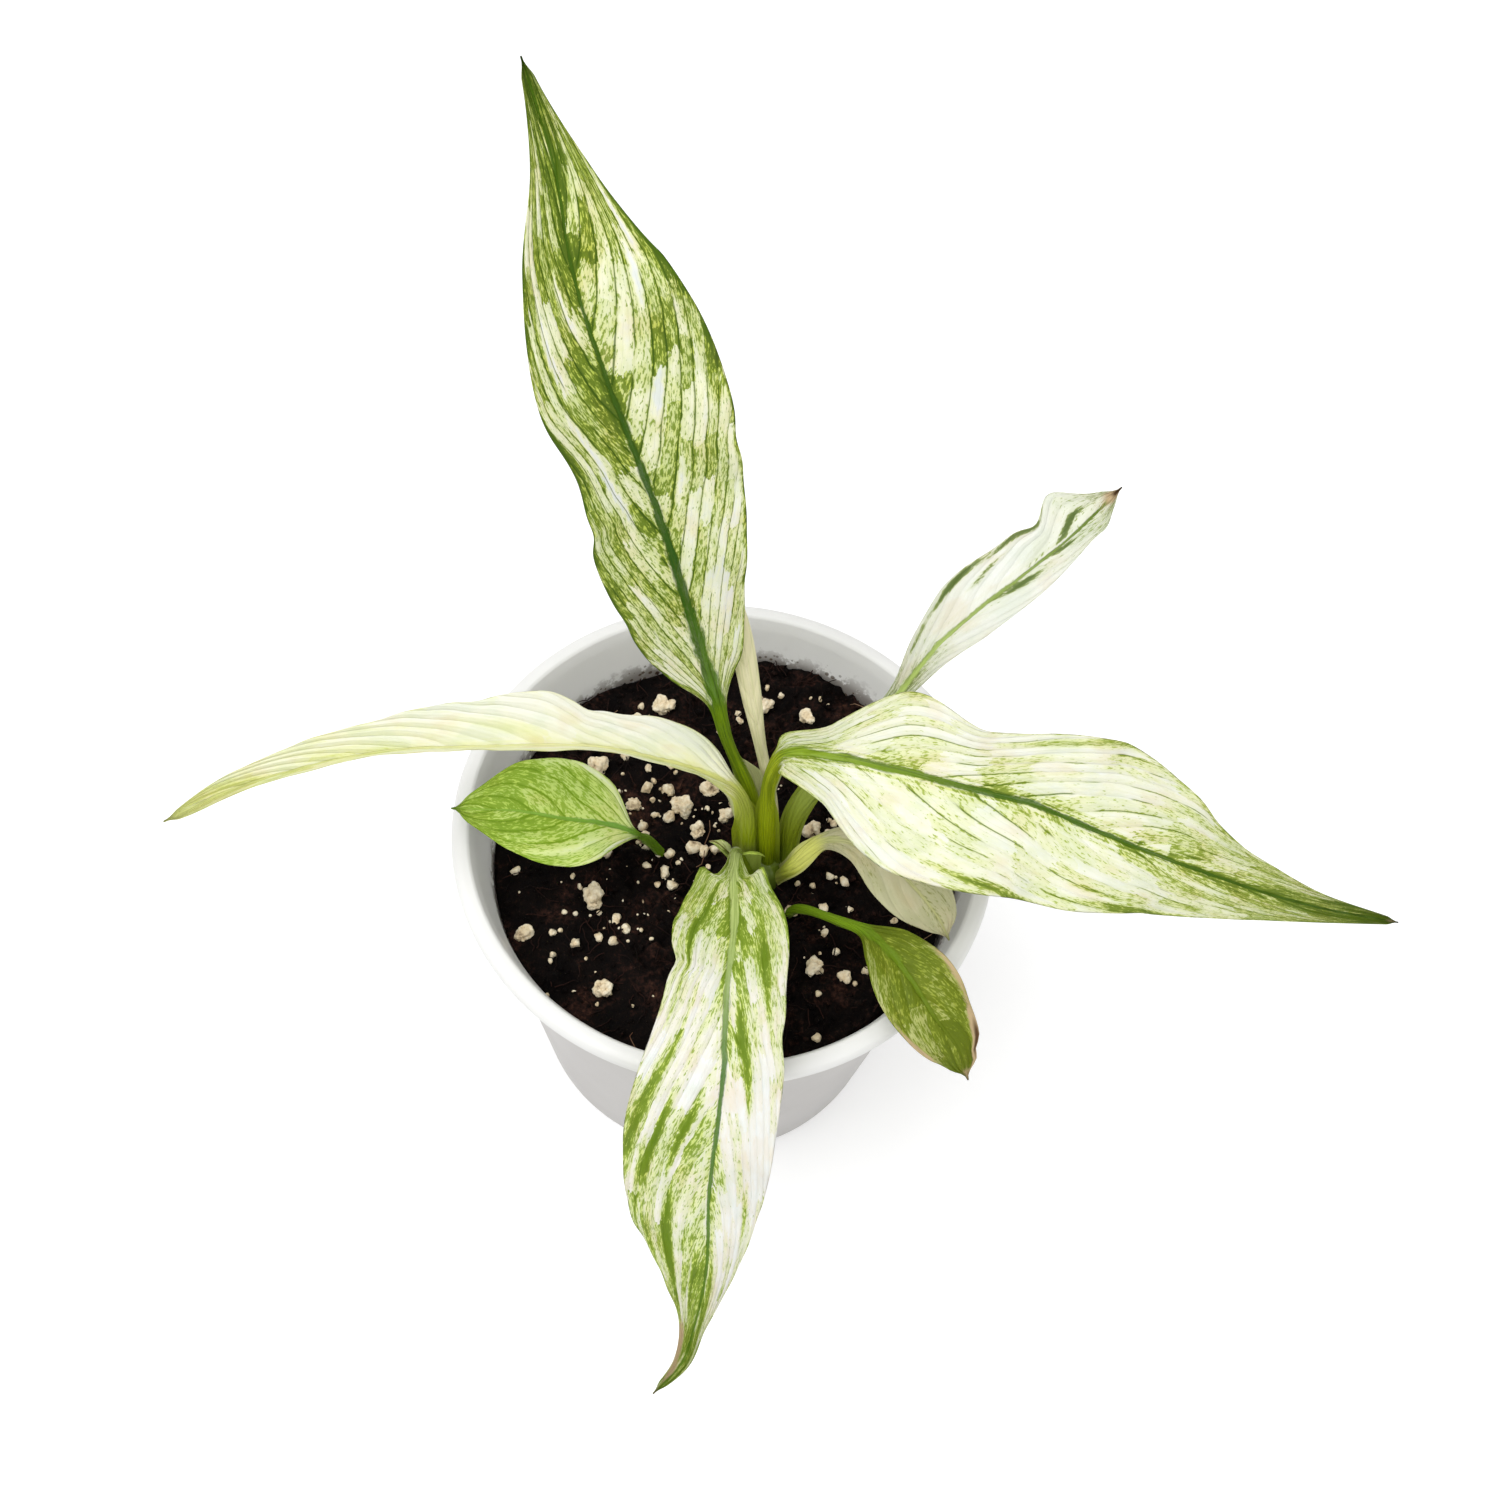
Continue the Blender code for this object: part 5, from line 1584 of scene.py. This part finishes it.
class MixSettings(bpy.types.PropertyGroup):
    """The potting mix and what lies on it."""

    darkest: colour_setting("Darkest", "Hollows of the mix", tint(5, 3, 3))
    dark: colour_setting("Dark", "Most of the mix", tint(16, 10, 8))
    reddish: colour_setting("Reddish", "Bark and fibre in the mix", tint(46, 28, 23))
    fleck: colour_setting("Fleck", "The palest bits of the mix", tint(104, 72, 54))
    root: colour_setting("Root", "Fine pale roots", tint(150, 124, 100))
    perlite: colour_setting("Perlite", "Clean faces of the grains", tint(250, 241, 216))
    # Painted shade on the grains.
    perlite_shade: colour_setting("Perlite Hollows", "Their hollows", tint(224, 203, 166))
    perlite_dirt: colour_setting("Perlite Dirt", "Mix stuck to them", tint(104, 78, 56))
    crumbs: number_setting("Crumbs", "Loose crumbs per square metre", 330000.0)
    largest_crumb: length_setting("Largest Crumb", "Radius of the largest loose crumb", 1.0)
    fibres: number_setting("Fibres", "Dark fibres per square metre", 60000.0)
    roots: number_setting("Roots", "Pale roots per square metre", 700.0)


class CrownSettings(bpy.types.PropertyGroup):
    """The crown that the stalks rise from."""

    neck: colour_setting("Neck", "Top of the crown", tint(120, 138, 14))
    body: colour_setting("Body", "Middle of the crown", tint(80, 98, 10))
    # Painted shade where the crown and the sheath meet the mix.
    foot: colour_setting("Foot", "The crown at the mix", tint(40, 46, 16))
    sheath: colour_setting("Sheath", "Lip of the cup-shaped sheath", tint(172, 192, 84))


class LeafSettings(bpy.types.PropertyGroup):
    """What all the leaves share."""

    vein_pitch: length_setting("Vein Pitch", "Between side veins, along the midrib", 8.0)
    quilt: length_setting("Quilting", "Swelling of the leaf between its side veins", QUILT)
    white: colour_setting("White", "Where there is no green at all", tint(241, 243, 240))
    blush: colour_setting("Blush", "Warm cast in the pale parts", tint(252, 247, 241))
    cool: colour_setting("Cool", "Cool cast in the pale parts", tint(247, 250, 247))
    tan: colour_setting("Tan", "Dry tissue", tint(196, 172, 132))
    scorch: colour_setting("Scorch", "Dead tips", tint(92, 66, 40))
    light_through: number_setting("Light Through", "Share of light that a leaf lets through", 0.18)


# --- operators -------------------------------------------------------------------------------


class LILY_OT_stage(bpy.types.Operator):
    """Set the floor, the light and the camera"""

    bl_idname = "lily.stage"
    bl_label = "Set the Stage"

    def execute(self, context):
        settings = context.scene.lily_stage
        scene = context.scene
        scene.view_settings.view_transform = "Standard"
        bm = bmesh.new()
        bmesh.ops.create_circle(bm, cap_ends=True, radius=FLOOR_SPAN, segments=96)
        mesh = bpy.data.meshes.new("floor")
        bm.to_mesh(mesh)
        bm.free()
        mesh.materials.append(floor_finish(settings))
        floor = bpy.data.objects.new("floor", mesh)
        floor.location.z = -FLOOR_DROP
        scene.collection.objects.link(floor)
        self.light_world(scene, settings)
        for lamp, power in zip(LAMPS, (settings.key_power, settings.fill_power)):
            self.hang_lamp(scene, *lamp, power)
        lens = bpy.data.cameras.new("camera")
        lens.sensor_width = SENSOR_WIDTH
        lens.lens = settings.lens
        lens.clip_start = 0.01
        camera = bpy.data.objects.new("camera", lens)
        camera.matrix_world = Matrix.Translation(CAMERA_PLACE) @ Matrix(CAMERA_TURN).to_4x4()
        scene.collection.objects.link(camera)
        scene.camera = camera
        return {"FINISHED"}

    def light_world(self, scene, settings):
        """Even light from all round, and a white backdrop for the eye."""
        world = bpy.data.worlds.new("room")
        world.use_nodes = True
        tree = world.node_tree
        path = wires(add(tree, "ShaderNodeLightPath"))
        seen = maths("MAXIMUM", path["Is Camera Ray"], path["Is Transmission Ray"])
        strength = spread_over(seen, 0.0, 1.0, settings.room, 1.0)
        back = tree.nodes["Background"]
        back.inputs["Color"].default_value = (1.0, 1.0, 1.0, 1.0)
        feed(strength, back, "Strength")
        scene.world = world

    def hang_lamp(self, scene, name, place, size, power):
        """A large soft lamp that faces the plant."""
        lamp = bpy.data.lights.new(name, "AREA")
        lamp.shape = "DISK"
        lamp.size = size
        lamp.energy = power
        held = bpy.data.objects.new(name, lamp)
        held.location = place
        beam = Vector(LAMP_AIM) - Vector(place)
        held.rotation_euler = beam.to_track_quat("-Z", "Y").to_euler()
        scene.collection.objects.link(held)


class LILY_OT_pot(bpy.types.Operator):
    """Turn the pot and drill its drain holes"""

    bl_idname = "lily.pot"
    bl_label = "Turn the Pot"

    def execute(self, context):
        settings = context.scene.lily_pot
        foot, inner_foot = FOOT_RADIUS, wall_radius(FLOOR) - WALL
        outer = [(0.0, 0.0), (foot - FOOT_ROUND, 0.0), (foot - FOOT_CUT, FOOT_CUT)]
        outer += [(wall_radius(height), height) for height in (FOOT_ROUND, *WALL_STEPS)]
        inner = [(MOUTH_RADIUS, 85.6), (50.4, 83.0), (SHOULDER[0] - WALL, SHOULDER[1])]
        inner += [(wall_radius(height) - WALL, height) for height in WALL_STEPS[::-1]]
        inner += [(inner_foot, FLOOR + 0.6), (inner_foot - 0.6, FLOOR), (0.0, FLOOR)]
        profile = softened([*outer, SHOULDER, *LIP, *inner])
        base = bpy.data.meshes.new("pot_profile")
        base.from_pydata([(radius * MM, 0.0, height * MM) for radius, height in profile], [], [])
        plastic = pot_finish(settings)
        mesh = made_by(
            "pot", base, pot_tree(),
            {
                "Sides": settings.sides, "Drain Holes": settings.drain_holes,
                "Drain Circle": settings.drain_circle, "Drain Radius": settings.drain_radius,
                "Drain Turn": settings.drain_turn, "Material": plastic,
            },
        )
        finish_body(mesh, sharp=POT_CREASE)
        spots = np.zeros(len(mesh.vertices) * 3)
        mesh.vertices.foreach_get("co", spots)
        spots = spots.reshape(-1, 3) / MM
        radius = np.hypot(spots[:, 0], spots[:, 1])
        middle = wall_radius(spots[:, 2]) - WALL / 2
        inside = np.where(
            (radius < np.minimum(middle, MOUTH_RADIUS - 0.4)) & (spots[:, 2] > FLOOR / 2), 1.0, 0.0,
        )
        layer = mesh.attributes.new("inner", "FLOAT_VECTOR", "POINT")
        layer.data.foreach_set("vector", np.repeat(inside, 3))
        show("pot_shell", mesh, plastic, "pot", "pot")
        return {"FINISHED"}


class LILY_OT_mix(bpy.types.Operator):
    """Fill the pot with potting mix and scatter crumbs, fibres and roots on it"""

    bl_idname = "lily.mix"
    bl_label = "Fill with Mix"

    def execute(self, context):
        settings = context.scene.lily_mix
        waves = soil_waves()
        inset = WALL + MIX_GAP
        rim = wall_radius(SOIL_LEVEL) - inset - MIX_GAP
        profile = [(0.0, MIX_FOOT), (wall_radius(MIX_FOOT) - inset - 0.8, MIX_FOOT)]
        profile += [(wall_radius(4.0) - inset, 4.0)]
        profile += [(wall_radius(height) - inset, height) for height in (*WALL_STEPS, 70.0)]
        profile += [(rim * (1 - ring / MIX_RINGS), SOIL_LEVEL) for ring in range(MIX_RINGS + 1)]
        bm = spun(profile, MIX_SIDES)
        for vert in bm.verts:
            if vert.co.z > SOIL_LEVEL - 1.0:
                vert.co.z = soil_height(vert.co.x, vert.co.y, waves)
                most = wall_radius(vert.co.z) - inset
                if vert.co.xy.length > most - 0.5:
                    vert.co.xy *= most / vert.co.xy.length
        bmesh.ops.recalc_face_normals(bm, faces=bm.faces)
        ground = as_mesh("mix_ground", bm)
        peat = mix_finish(settings)
        fibre = strand_finish("peat_fibre", settings.reddish, settings.dark)
        root = strand_finish("fine_root", settings.root, settings.fleck)
        tops, litter, strands = crumble_tree(), litter_tree(), strand_tree()
        loose = {"Per Square Metre": settings.crumbs, "Largest": settings.largest_crumb}
        few = {
            "Per Square Metre": settings.roots, "Length": 0.012, "Thickness": 9e-05,
            "Curl": 0.006, "Lift": 0.0012, "Seed": 21,
        }
        grow(ground, tops, "mix", peat, "soil", {}, "soil")
        grow(ground, litter, "mix_crumbs", peat, "soil", loose, smooth=False)
        grow(ground, strands, "mix_fibres", fibre, "soil", {"Per Square Metre": settings.fibres})
        grow(ground, strands, "fine_roots", root, "soil", few)
        return {"FINISHED"}


class LILY_OT_perlite(bpy.types.Operator):
    """Set the puffed grains in the mix, large and small"""

    bl_idname = "lily.perlite"
    bl_label = "Add Perlite"

    def execute(self, context):
        settings = context.scene.lily_mix
        waves = soil_waves()
        puffed = perlite_finish(settings)
        tree = grain_tree()
        nodes = sorted(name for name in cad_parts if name.startswith("perlite_"))
        spots, sizes = [], []
        for node in nodes:
            low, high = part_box(node)
            spots.append([(a + b) / 2 / MM for a, b in zip(low, high)])
            sizes.append(max(high[0] - low[0], high[1] - low[1]) * GRAIN_SHARE / MM)
        large = point_cloud("large", spots, sizes)
        grow(large, tree, "perlite_large", puffed, "perlite", {"Detail": 4}, *nodes)
        spots = [(x, y, soil_height(x, y, waves) + 0.25 * size) for x, y, size in SMALL_GRAINS]
        sizes = [size for _, _, size in SMALL_GRAINS]
        rng = random.Random(SCATTER_SEED)
        while len(spots) < SMALL_GRAIN_COUNT:
            reach = SCATTER_REACH if len(spots) % 2 else SCATTER_NEAR
            x, y = rng.uniform(-reach, reach), rng.uniform(-reach, reach)
            size = SCATTER_LEAST + SCATTER_MORE * rng.random() ** 2.5
            away = math.hypot(x - CROWN_CENTRE[0], y - CROWN_CENTRE[1])
            if math.hypot(x, y) < SCATTER_REACH and away > SCATTER_CLEAR:
                spots.append((x, y, soil_height(x, y, waves) + 0.3 * size))
                sizes.append(size)
        small = point_cloud("small", spots, sizes)
        values = {"Detail": 2, "Lumps per Metre": 900.0, "Pits": 0.1}
        grow(small, tree, "perlite_small", puffed, "perlite", values)
        return {"FINISHED"}


class LILY_OT_crown(bpy.types.Operator):
    """Grow the crown and the cup-shaped sheath in front of it"""

    bl_idname = "lily.crown"
    bl_label = "Grow the Crown"

    def execute(self, context):
        settings = context.scene.lily_crown
        bm = spun(softened(CROWN, cut=0.48, most=4.0), CROWN_SIDES)
        for vert in bm.verts:
            angle = math.atan2(vert.co.y, vert.co.x)
            lobe = 1 + 0.05 * math.cos(3 * angle + 0.8) + 0.03 * math.cos(5 * angle)
            lobe += 0.012 * math.cos(17 * angle + 0.9 * math.sin(vert.co.z))
            vert.co.x = vert.co.x * lobe + CROWN_CENTRE[0] + CROWN_SHIFT[0]
            vert.co.y = vert.co.y * lobe + CROWN_CENTRE[1] + CROWN_SHIFT[1]
        mesh = as_mesh("crown", bm)
        finish_body(mesh)
        green = crown_finish("crown_green", settings.body, settings.neck, settings.foot)
        show("stem_base", mesh, green, "crown", "crown")
        self.cup(settings)
        return {"FINISHED"}

    def cup(self, settings):
        """The thin sheath, its lip rolled out and dipping to the sides."""
        inner = softened(SHEATH, cut=0.45, most=2.0)
        outer = []
        for radius, height in inner:
            thin = 0.3 * max(0.0, (height - 80.0) / 8.0)
            outer.append((radius + SHEATH_WALL - thin, height))
        first, sweep = SHEATH_FIRST, SHEATH_SWEEP
        bm = spun(inner + outer[::-1], SHEATH_SIDES, first, sweep, closed=True)
        middle = Vector((math.cos(first + sweep / 2), math.sin(first + sweep / 2)))
        for vert in bm.verts:
            aside = vert.co.xy.angle(middle) / (sweep / 2)
            vert.co.z -= max(0.0, vert.co.z - 79.0) * 0.25 * aside ** 2
            vert.co.xy *= 1 + 0.012 * math.sin(9 * aside * math.copysign(1, vert.co.x))
            vert.co.x += CROWN_CENTRE[0] + SHEATH_SHIFT[0]
            vert.co.y += CROWN_CENTRE[1] + SHEATH_SHIFT[1]
        mesh = as_mesh("sheath_front", bm)
        finish_body(mesh, sharp=SHEATH_CREASE)
        # The sheath's foot is darkened by the same painted shade at the mix.
        green = crown_finish("sheath_green", settings.body, settings.sheath, settings.foot)
        show("front_sheath", mesh, green, "sheath", "sheath_front")


class LILY_OT_leaves(bpy.types.Operator):
    """Grow every leaf from its stalk to its tip"""

    bl_idname = "lily.leaves"
    bl_label = "Grow the Leaves"

    def execute(self, context):
        settings = context.scene.lily_leaves
        for name, spec in LEAVES.items():
            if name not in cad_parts:
                raise RuntimeError(f"the frame has no node called {name}")
            mesh = leaf_mesh(name, spec, settings)
            kind, _, which = name.partition("_")
            slot = name if kind == "leaf" else "sheath"
            show(f"{which}_{kind}", mesh, leaf_finish(name, settings), slot, name)
        return {"FINISHED"}


class LILY_PT_panel(bpy.types.Panel):
    """The lily's settings and the steps that make it"""

    bl_label = "Potted Peace Lily"
    bl_idname = "LILY_PT_panel"
    bl_space_type = "VIEW_3D"
    bl_region_type = "UI"
    bl_category = "Lily"

    def draw(self, context):
        for label, settings, steps in STEPS:
            box = self.layout.box()
            box.label(text=label)
            group = getattr(context.scene, settings)
            for name in group.bl_rna.properties.keys():
                if name not in ("rna_type", "name"):
                    box.prop(group, name)
            for operator in steps:
                box.operator(operator.bl_idname)


STEPS = (
    ("Stage", "lily_stage", (LILY_OT_stage,)), ("Pot", "lily_pot", (LILY_OT_pot,)),
    ("Mix", "lily_mix", (LILY_OT_mix, LILY_OT_perlite)), ("Crown", "lily_crown", (LILY_OT_crown,)),
    ("Leaves", "lily_leaves", (LILY_OT_leaves,)),
)
GROUPS = {
    "lily_stage": StageSettings, "lily_pot": PotSettings, "lily_mix": MixSettings,
    "lily_crown": CrownSettings, "lily_leaves": LeafSettings,
}
OPERATORS = tuple(operator for _, _, steps in STEPS for operator in steps)


def register():
    for kind in (*GROUPS.values(), *OPERATORS, LILY_PT_panel):
        bpy.utils.register_class(kind)
    for name, kind in GROUPS.items():
        setattr(bpy.types.Scene, name, bpy.props.PointerProperty(type=kind))


def unregister():
    for name in GROUPS:
        delattr(bpy.types.Scene, name)
    for kind in reversed((*GROUPS.values(), *OPERATORS, LILY_PT_panel)):
        bpy.utils.unregister_class(kind)


def main():
    """Make the whole scene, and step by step."""
    register()
    bpy.ops.lily.stage()
    bpy.ops.lily.pot()
    bpy.ops.lily.mix()
    bpy.ops.lily.perlite()
    bpy.ops.lily.crown()
    bpy.ops.lily.leaves()


if __name__ == "__main__":
    main()
